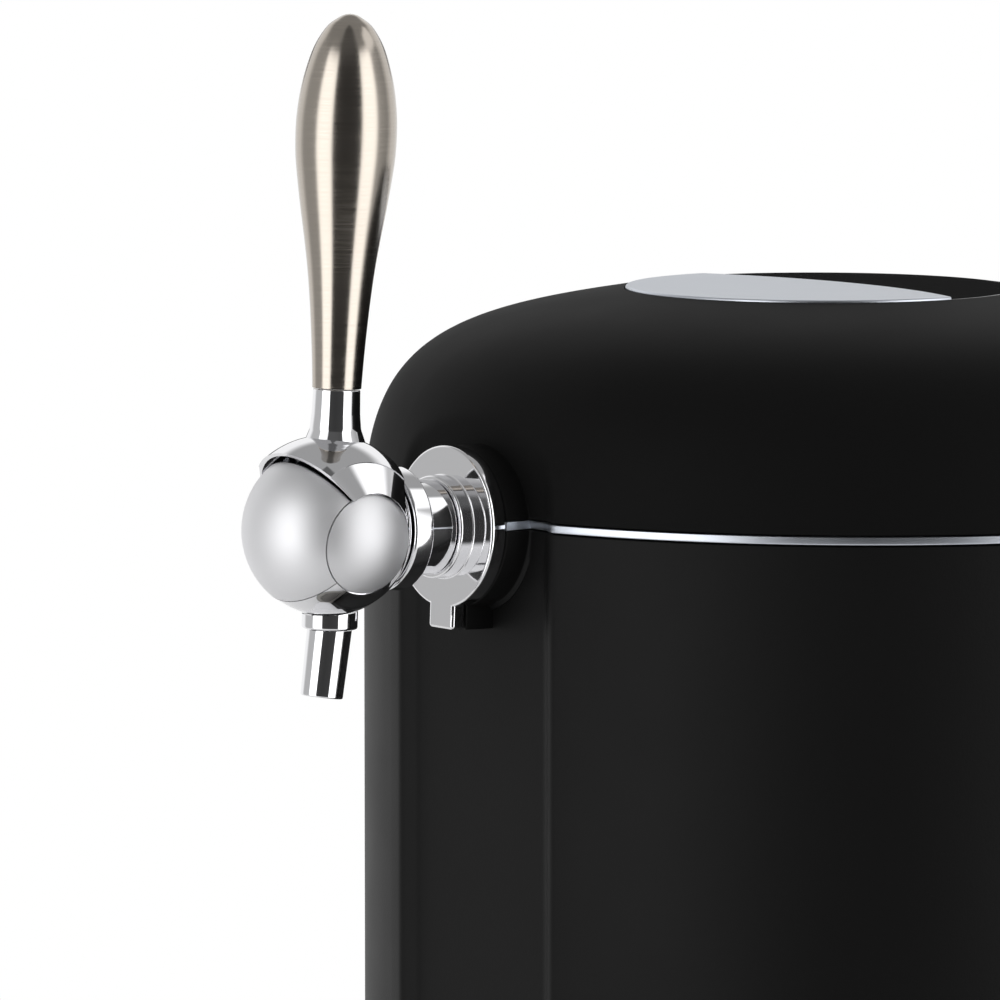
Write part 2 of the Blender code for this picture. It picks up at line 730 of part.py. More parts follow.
def keg_liner():
    """Thin aluminium cup that holds the keg and takes up its heat."""
    inner_floor = LINER_BOTTOM + LINER_WALL
    liner = turned(
        "keg_liner",
        [
            (0.0, inner_floor), (KEG_BORE_RADIUS, inner_floor), (KEG_BORE_RADIUS, LINER_TOP),
            (LINER_RADIUS, LINER_TOP), (LINER_RADIUS, LINER_BOTTOM), (0.0, LINER_BOTTOM),
        ],
        MIDDLE_STEPS, PARTS,
    )
    return finish(liner, ALUMINIUM)


def foam_jacket():
    """Insulation round and under the liner, with a window for the cold block."""
    floor = FOAM_BOTTOM + FOAM_FLOOR
    foam = turned(
        "foam_jacket",
        [
            (0.0, floor), (FOAM_INNER_RADIUS, floor), (FOAM_INNER_RADIUS, LINER_TOP),
            (FOAM_RADIUS, LINER_TOP), (FOAM_RADIUS, FOAM_BOTTOM), (0.0, FOAM_BOTTOM),
        ],
        MIDDLE_STEPS, PARTS,
    )
    half = COLD_BLOCK_HALF_WIDTH + GAP
    window = block(
        "foam_window", (-half, 0.0, COOL_Z - half), (half, BODY_RADIUS, COOL_Z + half)
    )
    cut(foam, window)
    return finish(foam, FOAM)


def base_plate():
    """Black plate that closes the casing at the bottom."""
    return finish(round_plate("base_plate", BASE_BOTTOM, BASE_TOP), BLACK_PLASTIC)


def feet():
    """Four rubber feet under the base plate."""
    for number, angle in enumerate((45.0, 135.0, 225.0, 315.0), start=1):
        x, y = FOOT_CIRCLE * cos(radians(angle)), FOOT_CIRCLE * sin(radians(angle))
        foot = rod(f"foot_{number}", FOOT_RADIUS, (x, y, 0.0), (x, y, FOOT_HEIGHT), SMALL_STEPS, PARTS)
        finish(foot, BLACK_RUBBER)


def tray_outline(inset):
    """Plan of the drip tray: straight sides and a round front."""
    radius = TRAY_HALF_WIDTH - inset
    front = arc(radius, 180.0, 360.0, TRAY_FRONT_STEPS, (0.0, TRAY_CENTRE_Y))
    return front + [(radius, 0.0), (-radius, 0.0)]


def tray_form(name, inset, low, high, group=CUTTERS):
    """The tray's plan as a solid, hollowed at the back to pass the casing."""
    form = extruded(name, tray_outline(inset), low, high, group)
    back = rod(
        name + "_back", BODY_RADIUS + TRAY_CLEARANCE + inset,
        (0, 0, low - OVERRUN), (0, 0, high + OVERRUN), BODY_STEPS,
    )
    return cut(form, back)


def drip_tray():
    """Black cup that catches spilt beer; its ledge carries the grid."""
    tray = tray_form("drip_tray", 0.0, BASE_BOTTOM, TRAY_TOP, PARTS)
    well = tray_form("tray_well", TRAY_WALL, BASE_BOTTOM + TRAY_FLOOR, TRAY_TOP + OVERRUN)
    seat = tray_form("grid_seat", TRAY_LIP, TRAY_TOP - GRID_LEDGE_DEPTH, TRAY_TOP + OVERRUN)
    cut(tray, well, seat)
    return finish(tray, BLACK_PLASTIC)


def drip_grid():
    """Steel plate with slots that the glass stands on."""
    low = TRAY_TOP - GRID_LEDGE_DEPTH + GAP
    high = low + GRID_THICKNESS
    grid = tray_form("drip_grid", TRAY_LIP + GAP, low, high, PARTS)
    reach = TRAY_HALF_WIDTH - GRID_SLOT_MARGIN
    rear = -BODY_RADIUS - GRID_REAR_MARGIN
    front = TRAY_CENTRE_Y - reach
    count = int((rear - front) / GRID_SLOT_PITCH)
    slots = []
    for step in range(count):
        y = rear - (step + 0.5) * GRID_SLOT_PITCH
        ahead = min(0.0, y - GRID_SLOT_WIDTH / 2 - TRAY_CENTRE_Y)
        half = sqrt(max(reach ** 2 - ahead ** 2, 0.0))
        half_slot = GRID_SLOT_WIDTH / 2
        slots.append(((-half, y - half_slot, low - OVERRUN), (half, y + half_slot, high + OVERRUN)))
    cut(grid, blocks("grid_slots", slots))
    return finish(grid, BRUSHED_STEEL)


def tray_dock():
    """Flat tongue under the body that carries the tray, on two runners."""
    top = BASE_BOTTOM - GAP
    dock = block(
        "tray_dock", (-DOCK_HALF_WIDTH, -DOCK_FRONT, top - DOCK_THICKNESS),
        (DOCK_HALF_WIDTH, -DOCK_BACK, top), PARTS,
    )
    for side in (-1, 1):
        x = side * DOCK_RUNNER_SPREAD
        runner = block(
            f"dock_runner_{side}",
            (x - DOCK_RUNNER_WIDTH / 2, -DOCK_FRONT, 0.0),
            (x + DOCK_RUNNER_WIDTH / 2, -DOCK_FRONT + DOCK_RUNNER_LENGTH, top - DOCK_THICKNESS / 2),
        )
        join(dock, runner)
    return finish(dock, BLACK_PLASTIC)


def square_plate(name, half, front, back, group=PARTS):
    """A square plate across the cooling unit's axis."""
    return block(name, (-half, front, COOL_Z - half), (half, back, COOL_Z + half), group)


def cooling_unit():
    """Cold block, thermoelectric module and finned sink in a row."""
    cold = square_plate("cold_block", COLD_BLOCK_HALF_WIDTH, 0.0, COLD_BLOCK_BACK)
    liner = rod(
        "cold_block_seat", LINER_RADIUS + GAP, (0, 0, 0.0), (0, 0, PARTING_Z), MIDDLE_STEPS
    )
    finish(cut(cold, liner), ALUMINIUM)
    peltier = square_plate(
        "peltier_module", PELTIER_HALF_WIDTH, COLD_BLOCK_BACK + GAP, PELTIER_BACK
    )
    finish(peltier, WHITE_CERAMIC)
    pitch = (2 * SINK_HALF_WIDTH - FIN_THICKNESS) / (FIN_COUNT - 1)
    root = SINK_FRONT + SINK_BASE
    comb = [(SINK_HALF_WIDTH, SINK_FRONT), (SINK_HALF_WIDTH, SINK_BACK)]
    for number in range(FIN_COUNT - 1):
        fin_end = SINK_HALF_WIDTH - number * pitch - FIN_THICKNESS
        next_fin = SINK_HALF_WIDTH - (number + 1) * pitch
        comb += [(fin_end, SINK_BACK), (fin_end, root), (next_fin, root), (next_fin, SINK_BACK)]
    comb += [(-SINK_HALF_WIDTH, SINK_BACK), (-SINK_HALF_WIDTH, SINK_FRONT)]
    sink = extruded("heat_sink", comb, COOL_Z - SINK_HALF_WIDTH, COOL_Z + SINK_HALF_WIDTH, PARTS)
    finish(sink, ALUMINIUM)


def fan():
    """Square fan frame with its motor plate, and the bladed rotor."""
    frame = square_plate("fan_frame", FAN_HALF_WIDTH, FAN_FRONT, FAN_BACK)
    plate_front = FAN_BACK - FAN_PLATE
    bore = rod(
        "fan_bore", FAN_BORE_RADIUS, (0, FAN_FRONT - OVERRUN, COOL_Z), (0, plate_front, COOL_Z),
        MIDDLE_STEPS,
    )
    low_y, high_y = plate_front - OVERRUN, FAN_BACK + OVERRUN
    windows = rod(
        "fan_windows", FAN_BORE_RADIUS - GAP, (0, low_y, COOL_Z), (0, high_y, COOL_Z), MIDDLE_STEPS
    )
    low_y, high_y = low_y - OVERRUN, high_y + OVERRUN
    hub = rod("fan_motor_plate", FAN_HUB_RADIUS, (0, low_y, COOL_Z), (0, high_y, COOL_Z))
    half, reach = FAN_STRUT_WIDTH / 2, FAN_HALF_WIDTH
    upright = block("fan_strut_upright", (-half, low_y, COOL_Z - reach), (half, high_y, COOL_Z + reach))
    level = block("fan_strut_level", (-reach, low_y, COOL_Z - half), (reach, high_y, COOL_Z + half))
    shaft_hole = rod(
        "fan_shaft_hole", FAN_SHAFT_HOLE_RADIUS, (0, low_y, COOL_Z), (0, high_y, COOL_Z)
    )
    cut(windows, hub, upright, level)
    cut(frame, bore, windows, shaft_hole)
    finish(frame, BLACK_PLASTIC)

    centre = pivot("fan_axis", (0.0, plate_front - RUNNING_GAP - FAN_HUB_DEPTH / 2, COOL_Z))
    half_depth = FAN_HUB_DEPTH / 2
    rotor = rod("fan_rotor", FAN_HUB_RADIUS, (0, -half_depth, 0), (0, half_depth, 0), SMALL_STEPS, PARTS)
    place(rotor, centre)
    shaft = rod("fan_shaft", FAN_SHAFT_RADIUS, (0, 0, 0), (0, half_depth + RUNNING_GAP + FAN_PLATE, 0))
    place(shaft, centre)
    join(rotor, shaft)
    for number in range(BLADE_COUNT):
        blade = block(
            f"fan_blade_{number + 1}",
            (-BLADE_CHORD / 2, -BLADE_THICKNESS / 2, FAN_HUB_RADIUS - BLADE_THICKNESS),
            (BLADE_CHORD / 2, BLADE_THICKNESS / 2, FAN_BLADE_RADIUS),
        )
        blade.data.transform(Matrix.Rotation(radians(BLADE_PITCH), 4, "Z"))
        place(blade, centre, turn=(0.0, 360.0 * number / BLADE_COUNT, 0.0))
        join(rotor, blade)
    finish(rotor, BLACK_PLASTIC)


def housing_outline(inset):
    """Plan of the rear housing with rounded rear corners."""
    half = HOUSING_HALF_WIDTH - inset
    back = HOUSING_BACK - inset
    corner = HOUSING_CORNER_RADIUS - inset
    right = arc(corner, 0.0, 90.0, HOUSING_CORNER_STEPS, (half - corner, back - corner))
    left = arc(corner, 90.0, 180.0, HOUSING_CORNER_STEPS, (corner - half, back - corner))
    return [(half, HOUSING_ROOT)] + right + left + [(-half, HOUSING_ROOT)]


def rear_vents():
    """Level slots in line with the fan."""
    low = COOL_Z - (VENT_COUNT - 1) * VENT_PITCH / 2
    slots = []
    for number in range(VENT_COUNT):
        z = low + number * VENT_PITCH
        slots.append((
            (-VENT_HALF_WIDTH, HOUSING_INSIDE - OVERRUN, z - VENT_HEIGHT / 2),
            (VENT_HALF_WIDTH, HOUSING_BACK + OVERRUN, z + VENT_HEIGHT / 2),
        ))
    return blocks("rear_vents", slots)


def side_vents():
    """Upright slots beside the heat sink, on both sides."""
    slots = []
    for number in range(SIDE_VENT_COUNT):
        y = SIDE_VENT_START + number * SIDE_VENT_PITCH
        low, high = COOL_Z - SIDE_VENT_LENGTH / 2, COOL_Z + SIDE_VENT_LENGTH / 2
        outside = HOUSING_HALF_WIDTH + OVERRUN
        slots.append(((HOUSING_HALF_WIDTH - OVERRUN, y, low), (outside, y + SIDE_VENT_WIDTH, high)))
        slots.append(((-outside, y, low), (OVERRUN - HOUSING_HALF_WIDTH, y + SIDE_VENT_WIDTH, high)))
    return blocks("side_vents", slots)


def fitting_block(name, x, half_width, half_height, front, back, group=CUTTERS):
    """A box at the height of the rear fittings."""
    return block(
        name, (x - half_width, front, REAR_FITTINGS_Z - half_height),
        (x + half_width, back, REAR_FITTINGS_Z + half_height), group,
    )


def screw_places():
    """Centres of the four screws in the rear wall."""
    heights = (HOUSING_BOTTOM + SCREW_INSET_Z, HOUSING_TOP - SCREW_INSET_Z)
    return [(side * SCREW_SPREAD_X, z) for z in heights for side in (-1, 1)]


def rear_housing():
    """Vented cover over the cooling unit, shaped to the round casing."""
    housing = extruded("rear_housing", housing_outline(0.0), HOUSING_BOTTOM, HOUSING_TOP, PARTS)
    room = extruded(
        "housing_room", housing_outline(HOUSING_WALL), HOUSING_BOTTOM + HOUSING_WALL,
        HOUSING_TOP - HOUSING_WALL,
    )
    body = rod(
        "housing_seat", BODY_RADIUS + GAP, (0, 0, -OVERRUN), (0, 0, PARTING_Z), BODY_STEPS
    )
    cut(housing, room, body, rear_vents(), side_vents())
    front, past = HOUSING_INSIDE - OVERRUN, HOUSING_BACK + OVERRUN
    inlet_hole = fitting_block(
        "inlet_hole", INLET_X, INLET_HALF_WIDTH + GAP, INLET_HALF_HEIGHT + GAP, front, past
    )
    switch_hole = fitting_block(
        "switch_hole", SWITCH_X, SWITCH_HALF_WIDTH + GAP, SWITCH_HALF_HEIGHT + GAP, front, past
    )
    cut(housing, inlet_hole, switch_hole)
    for number, (x, z) in enumerate(screw_places(), start=1):
        name = f"screw_hole_{number}"
        cut(housing, rod(name, SCREW_HOLE_RADIUS, (x, front, z), (x, past, z), TINY_STEPS))
    return finish(housing, BLACK_PLASTIC)


def rear_screws():
    """Pan-head screws that hold the rear housing."""
    for number, (x, z) in enumerate(screw_places(), start=1):
        seat = HOUSING_BACK + GAP
        screw = rod(
            f"rear_screw_{number}", SCREW_HEAD_RADIUS, (x, seat, z), (x, seat + SCREW_HEAD_HEIGHT, z),
            TINY_STEPS, PARTS,
        )
        shaft = rod(
            f"screw_shaft_{number}", SCREW_SHAFT_RADIUS, (x, seat - SCREW_SHAFT_LENGTH, z),
            (x, seat + SCREW_HEAD_HEIGHT / 2, z), TINY_STEPS,
        )
        join(screw, shaft)
        finish(screw, STEEL)


def power_board():
    """Circuit board on standoffs, with its converter block and capacitors."""
    back = POWER_BOARD_FRONT + BOARD_THICKNESS
    board = block(
        "power_board", (-POWER_BOARD_HALF_WIDTH, POWER_BOARD_FRONT, POWER_BOARD_BOTTOM),
        (POWER_BOARD_HALF_WIDTH, back, POWER_BOARD_TOP), PARTS,
    )
    middle = (POWER_BOARD_BOTTOM + POWER_BOARD_TOP) / 2
    for side in (-1, 1):
        x = side * STANDOFF_SPREAD
        standoff = rod(
            f"standoff_{side}", STANDOFF_RADIUS, (x, INNER_RADIUS - OVERRUN, middle),
            (x, POWER_BOARD_FRONT + BOARD_THICKNESS / 2, middle), TINY_STEPS,
        )
        x = side * CAPACITOR_OFFSET
        capacitor = rod(
            f"capacitor_{side}", CAPACITOR_RADIUS, (x, POWER_BOARD_FRONT + BOARD_THICKNESS / 2, middle),
            (x, back + CAPACITOR_HEIGHT, middle),
        )
        join(board, standoff, capacitor)
    converter = block(
        "converter", (-CONVERTER_HALF_WIDTH, back - BOARD_THICKNESS / 2, middle - CONVERTER_HEIGHT / 2),
        (CONVERTER_HALF_WIDTH, back + CONVERTER_DEPTH, middle + CONVERTER_HEIGHT / 2),
    )
    seat = rod(
        "board_seat", BODY_RADIUS + GAP, (0, 0, POWER_BOARD_BOTTOM - OVERRUN),
        (0, 0, POWER_BOARD_TOP + OVERRUN), BODY_STEPS,
    )
    join(board, converter)
    cut(board, seat)
    return finish(board, CIRCUIT_GREEN)


def inlet_socket():
    """Mains inlet with three contacts, sunk in the rear wall."""
    front = HALF_DEPTH - INLET_DEPTH
    socket = fitting_block(
        "inlet_socket", INLET_X, INLET_HALF_WIDTH, INLET_HALF_HEIGHT, front, HALF_DEPTH, PARTS
    )
    floor = front + 2 * INLET_WALL
    cavity = fitting_block(
        "inlet_cavity", INLET_X, INLET_HALF_WIDTH - INLET_WALL, INLET_HALF_HEIGHT - INLET_WALL,
        floor, HALF_DEPTH + OVERRUN,
    )
    cut(socket, cavity)
    for side in (-1, 0, 1):
        x = INLET_X + side * CONTACT_SPREAD
        contact = fitting_block(
            f"inlet_contact_{side}", x, CONTACT_HALF_WIDTH, CONTACT_HALF_HEIGHT,
            floor - INLET_WALL, floor + CONTACT_LENGTH,
        )
        join(socket, contact)
    return finish(socket, BLACK_PLASTIC)


def power_switch():
    """Switch frame in the rear wall and its rocker, which rests tipped to off."""
    front = HALF_DEPTH - SWITCH_DEPTH
    frame = fitting_block(
        "switch_frame", SWITCH_X, SWITCH_HALF_WIDTH, SWITCH_HALF_HEIGHT, front, HALF_DEPTH, PARTS
    )
    cavity = fitting_block(
        "switch_cavity", SWITCH_X, SWITCH_HALF_WIDTH - SWITCH_WALL, SWITCH_HALF_HEIGHT - SWITCH_WALL,
        front + SWITCH_WALL, HALF_DEPTH + OVERRUN,
    )
    axle_y = HALF_DEPTH - ROCKER_SINK - ROCKER_DEPTH / 2
    reach = SWITCH_HALF_WIDTH - SWITCH_WALL + ROCKER_AXLE_ROOT
    axle = rod(
        "rocker_axle", ROCKER_PIN_RADIUS, (SWITCH_X - reach, axle_y, REAR_FITTINGS_Z),
        (SWITCH_X + reach, axle_y, REAR_FITTINGS_Z), TINY_STEPS,
    )
    cut(frame, cavity)
    join(frame, axle)
    finish(frame, BLACK_PLASTIC)

    half_width = SWITCH_HALF_WIDTH - SWITCH_WALL - ROCKER_CLEARANCE / 2
    half_height = SWITCH_HALF_HEIGHT - SWITCH_WALL - ROCKER_CLEARANCE
    half_depth = ROCKER_DEPTH / 2
    dished = half_depth - ROCKER_DISH
    outline = [
        (half_depth, half_height), (-half_depth + ROCKER_DISH, half_height - ROCKER_DISH),
        (-half_depth + ROCKER_DISH, ROCKER_DISH - half_height), (half_depth, -half_height), (dished, 0.0),
    ]
    axle_point = pivot("rocker_axis", (SWITCH_X, axle_y, REAR_FITTINGS_Z))
    rocker = extruded("power_rocker", outline, -half_width, half_width, PARTS)
    rocker.data.transform(Matrix(((0, 0, 1, 0), (1, 0, 0, 0), (0, 1, 0, 0), (0, 0, 0, 1))))
    place(rocker, axle_point, turn=(-ROCKER_TILT, 0.0, 0.0))
    hole = rod("rocker_hole", ROCKER_HOLE_RADIUS, (-reach, 0, 0), (reach, 0, 0), TINY_STEPS)
    cut(rocker, place(hole, axle_point))
    finish(rocker, GLOSS_BLACK)


def hinge():
    """Bracket and pin on the casing, and the leaf that the lid turns with."""
    pin_z = PARTING_Z
    top = pin_z - KNUCKLE_RADIUS - RUNNING_GAP
    rear = HINGE_Y + KNUCKLE_RADIUS
    bracket = block(
        "hinge_bracket", (-HINGE_HALF_WIDTH, INNER_RADIUS - OVERRUN, top - BRACKET_HEIGHT),
        (HINGE_HALF_WIDTH, rear, top), PARTS,
    )
    for side in (-1, 1):
        outer = side * HINGE_HALF_WIDTH
        inner = side * (HINGE_HALF_WIDTH - EAR_WIDTH)
        low_x, high_x = min(outer, inner), max(outer, inner)
        foot = block(
            f"ear_foot_{side}", (low_x, HINGE_Y - KNUCKLE_RADIUS, top - EAR_WIDTH), (high_x, rear, pin_z)
        )
        crown = rod(f"ear_crown_{side}", KNUCKLE_RADIUS, (low_x, HINGE_Y, pin_z), (high_x, HINGE_Y, pin_z))
        join(bracket, foot, crown)
    past = HINGE_HALF_WIDTH + OVERRUN
    hole = rod("bracket_hole", HINGE_HOLE_RADIUS, (-past, HINGE_Y, pin_z), (past, HINGE_Y, pin_z))
    seat = rod("bracket_seat", BODY_RADIUS + GAP, (0, 0, 0), (0, 0, PARTING_Z + OVERRUN), BODY_STEPS)
    cut(bracket, seat, hole)
    finish(bracket, BLACK_PLASTIC)

    pin = rod(
        "hinge_pin", HINGE_PIN_RADIUS, (-HINGE_HALF_WIDTH, HINGE_Y, pin_z),
        (HINGE_HALF_WIDTH, HINGE_Y, pin_z), SMALL_STEPS, PARTS,
    )
    finish(pin, STEEL)

    axis = pivot("lid_hinge_axis", (0.0, HINGE_Y, pin_z))
    half = HINGE_HALF_WIDTH - EAR_WIDTH - RUNNING_GAP
    leaf = block(
        "hinge_leaf", (-half, -KNUCKLE_RADIUS - LEAF_REACH, LEAF_FOOT),
        (half, KNUCKLE_RADIUS / 2, LEAF_HEIGHT), PARTS,
    )
    place(leaf, axis)
    knuckle = place(rod("leaf_knuckle", KNUCKLE_RADIUS, (-half, 0, 0), (half, 0, 0)), axis)
    eye = place(rod("leaf_eye", HINGE_HOLE_RADIUS, (-past, 0, 0), (past, 0, 0)), axis)
    lid_form = dome("leaf_seat", -GAP, DOME_TOP + GAP, PARTING_Z - OVERRUN, DOME_STEPS, BODY_STEPS)
    join(leaf, knuckle)
    cut(leaf, lid_form, eye)
    finish(leaf, BLACK_PLASTIC)
    return axis


def on_lid(thing, axis):
    """Hang a piece that is modelled in place on the lid's hinge axis."""
    return place(thing, axis, location=-axis.location)


def lid(axis):
    """Domed lid shell, its inner dish, insulation, seal and top panels."""
    shell = dome(
        "lid_shell", 0.0, DOME_TOP, PARTING_Z - DOME_SPRING_DROP, DOME_STEPS, BODY_STEPS, PARTS
    )
    hollow = dome(
        "lid_hollow", WALL, SHELL_ROOF, PARTING_Z - 2 * OVERRUN, HOLLOW_DOME_STEPS, MIDDLE_STEPS
    )
    cut(hollow, front_slab("lid_front_wall", PANEL_BACK, PARTING_Z - 3 * OVERRUN))
    below = rod(
        "below_lid", BODY_RADIUS + OVERRUN, (0, 0, PARTING_Z - 3 * OVERRUN), (0, 0, LID_BOTTOM), TINY_STEPS
    )
    recess = rod(
        "top_recess", TOP_RADIUS, (0, TOP_CENTRE_Y, RECESS_FLOOR),
        (0, TOP_CENTRE_Y, DOME_TOP + OVERRUN), BODY_STEPS,
    )
    cut(shell, panel_pocket())
    join(shell, boss("upper_boss", LID_BOTTOM, PARTING_Z + BOSS_RADIUS + OVERRUN))
    cut(shell, hollow, below, tap_bore("upper_tap_bore", SHANK_HOLE_RADIUS), recess)
    finish(on_lid(shell, axis), MATTE_BLACK)

    land = CASING_TOP + GAP + SEAL_THICKNESS + GAP
    seal_inner = KEG_BORE_RADIUS + SEAL_INSET
    liner = turned(
        "lid_liner",
        [
            (0.0, PARTING_Z + DISH_RISE + LID_LINER_WALL),
            (DISH_RADIUS, PARTING_Z + DISH_RISE + LID_LINER_WALL),
            (KEG_BORE_RADIUS, land + LID_LINER_WALL),
            (CHANNEL_INNER_RADIUS - LID_LINER_WALL, land + LID_LINER_WALL),
            (CHANNEL_INNER_RADIUS - LID_LINER_WALL, PARTING_Z + CHANNEL_RISE + LID_LINER_WALL),
            (CHANNEL_OUTER_RADIUS, PARTING_Z + CHANNEL_RISE + LID_LINER_WALL),
            (SKIRT_RADIUS, LID_BOTTOM + LID_LINER_WALL),
            (SKIRT_RADIUS - LID_LINER_WALL, LID_BOTTOM + LID_LINER_WALL),
            (CHANNEL_OUTER_RADIUS - LID_LINER_WALL, PARTING_Z + CHANNEL_RISE),
            (CHANNEL_INNER_RADIUS, PARTING_Z + CHANNEL_RISE),
            (CHANNEL_INNER_RADIUS, land),
            (KEG_BORE_RADIUS - LID_LINER_WALL / 2, land),
            (DISH_RADIUS - LID_LINER_WALL / 2, PARTING_Z + DISH_RISE),
            (0.0, PARTING_Z + DISH_RISE),
        ],
        MIDDLE_STEPS, PARTS,
    )
    cut(liner, front_slab("liner_front", PANEL_BACK - GAP))
    cut(liner, tap_bore("liner_tap_clearance", NUT_RADIUS + RUNNING_GAP))
    finish(on_lid(liner, axis), GREY_PLASTIC)

    seal = turned(
        "lid_seal",
        [
            (seal_inner, CASING_TOP + GAP), (seal_inner, CASING_TOP + GAP + SEAL_THICKNESS),
            (seal_inner + SEAL_WIDTH, CASING_TOP + GAP + SEAL_THICKNESS),
            (seal_inner + SEAL_WIDTH, CASING_TOP + GAP),
        ],
        MIDDLE_STEPS, PARTS, closed=True,
    )
    finish(on_lid(seal, axis), BLACK_RUBBER)

    foam_bottom = PARTING_Z + DISH_RISE + LID_LINER_WALL + GAP
    board_top = SHELL_ROOF - GAP
    foam_top = board_top - BOARD_THICKNESS - GAP
    foam = rod(
        "lid_foam", TOP_RADIUS + LID_FOAM_MARGIN, (0, TOP_CENTRE_Y, foam_bottom), (0, TOP_CENTRE_Y, foam_top),
        MIDDLE_STEPS, PARTS,
    )
    finish(on_lid(foam, axis), FOAM)

    half_length = TOP_RADIUS - TOUCH_BOARD_INSET
    half_width = (TOP_RADIUS - TOUCH_BOARD_TRIM) / 2
    board = block(
        "touch_board",
        (-half_length, TOUCH_BOARD_SETBACK - half_width, foam_top + GAP),
        (half_length, TOUCH_BOARD_SETBACK + half_width, board_top), PARTS,
    )
    finish(on_lid(board, axis), CIRCUIT_GREEN)
    top_panels(axis)


def top_panels(axis):
    """Silver plate at the front of the top and the gloss panel behind it."""
    radius = TOP_RADIUS - GAP
    centre_y = SILVER_EDGE_SETBACK - SILVER_EDGE_RADIUS
    floor = RECESS_FLOOR + GAP
    silver = rod(
        "silver_top_plate", radius, (0, TOP_CENTRE_Y, floor),
        (0, TOP_CENTRE_Y, DOME_TOP + SILVER_PROUD), BODY_STEPS, PARTS,
    )
    ahead = rod(
        "silver_side", SILVER_EDGE_RADIUS, (0, centre_y, floor - OVERRUN),
        (0, centre_y, DOME_TOP + OVERRUN), TOP_EDGE_STEPS,
    )
    finish(on_lid(keep(silver, ahead), axis), SATIN_SILVER)
    panel = rod(
        "control_panel", radius, (0, TOP_CENTRE_Y, floor), (0, TOP_CENTRE_Y, DOME_TOP), BODY_STEPS, PARTS
    )
    behind = rod(
        "panel_side", SILVER_EDGE_RADIUS + GAP, (0, centre_y, floor - OVERRUN),
        (0, centre_y, DOME_TOP + OVERRUN), TOP_EDGE_STEPS,
    )
    finish(on_lid(cut(panel, behind), axis), GLOSS_BLACK)


def side_form(name, outline, half_width, group=CUTTERS):
    """A solid across X from an outline in forward reach and height."""
    form = extruded(name, outline, -half_width, half_width, group)
    form.data.transform(Matrix(((0, 0, 1, 0), (-1, 0, 0, 0), (0, 1, 0, 0), (0, 0, 0, 1))))
    work = bmesh.new()
    work.from_mesh(form.data)
    bmesh.ops.recalc_face_normals(work, faces=work.faces)
    work.to_mesh(form.data)
    work.free()
    return form


def wedge(name, low_angle, high_angle, half_width, reach):
    """A wedge round the pivot axis, by angles above the forward direction."""
    outline = [(0.0, 0.0)] + arc(reach, low_angle, high_angle, WEDGE_STEPS)
    return side_form(name, outline, half_width)


def lever_slot(reach):
    """Slot in the ball for the lever's rod, as wide as its swing needs."""
    back = LEVER_SETBACK + LEVER_ROD_RADIUS + RUNNING_GAP
    swing = radians(LEVER_TRAVEL + SLOT_MARGIN_ANGLE)
    front = (LEVER_ROD_RADIUS - LEVER_SETBACK + RUNNING_GAP) / cos(swing)
    lean = radians(LEVER_LEAN + SLOT_MARGIN_ANGLE)
    low = -2 * RUNNING_GAP
    sides = [
        (-back, low), (front, low),
        (front + reach * tan(swing), reach), (-back - reach * tan(lean), reach),
    ]
    return side_form("lever_slot", sides, LEVER_SLOT_HALF_WIDTH)


def tap_mount():
    """Flange with its key tab, barrel with shank, and the nut behind the wall."""
    axis = tap_axis("tap_axis")
    flange = turned(
        "tap_flange",
        [
            (SHANK_HOLE_RADIUS, FLANGE_BACK), (SHANK_HOLE_RADIUS, STEP_FRONT), (STEP_RADIUS, STEP_FRONT),
            (STEP_RADIUS, FLANGE_FRONT), (FLANGE_RADIUS - GAP, FLANGE_FRONT),
            (FLANGE_RADIUS, FLANGE_FRONT - GAP), (FLANGE_RADIUS, FLANGE_BACK),
        ],
        MIDDLE_STEPS, PARTS, closed=True,
    )
    place(flange, axis)
    tab = block(
        "flange_tab", (-KEY_WIDTH / 2, -KEY_DROP, FLANGE_BACK),
        (KEY_WIDTH / 2, -FLANGE_RADIUS + WALL, FLANGE_FRONT),
    )
    join(flange, place(tab, axis))
    finish(flange, CHROME)

    barrel = turned(
        "tap_barrel",
        [
            (0.0, RING_FRONT), (RING_RADIUS - GAP, RING_FRONT), (RING_RADIUS, RING_FRONT - GAP),
            (RING_RADIUS, RING_BACK), (BARREL_RADIUS, RING_BACK), (BARREL_RADIUS, STEP_FRONT + GAP),
            (SHANK_RADIUS, STEP_FRONT + GAP), (SHANK_RADIUS, SHANK_END), (0.0, SHANK_END),
        ],
        MIDDLE_STEPS, PARTS,
    )
    place(barrel, axis)
    low, high, bend = -BEER_BORE_DROP, BEER_BORE_RISE, BEER_BORE_BEND
    past = BEER_BORE_RADIUS / 2
    bores = (
        ("bore_front", BEER_BORE_RADIUS, (0, low, bend - past), (0, low, RING_FRONT + OVERRUN)),
        ("bore_rise", BEER_BORE_RADIUS + GAP, (0, low - past, bend), (0, high + past, bend)),
        ("bore_back", BEER_BORE_RADIUS, (0, high, SHANK_END - OVERRUN), (0, high, bend + past)),
    )
    for name, radius, start, end in bores:
        cut(barrel, place(rod(name, radius, start, end, TINY_STEPS), axis))
    finish(barrel, CHROME)

    nut_front = PANEL_BACK - GAP - NUT_RADIUS * tan(radians(TAP_TILT))
    nut = turned(
        "shank_nut",
        [
            (SHANK_HOLE_RADIUS, nut_front - NUT_THICKNESS), (SHANK_HOLE_RADIUS, nut_front),
            (NUT_RADIUS, nut_front), (NUT_RADIUS, nut_front - NUT_THICKNESS),
        ],
        MIDDLE_STEPS, PARTS, closed=True,
    )
    place(nut, axis)
    finish(nut, STEEL)


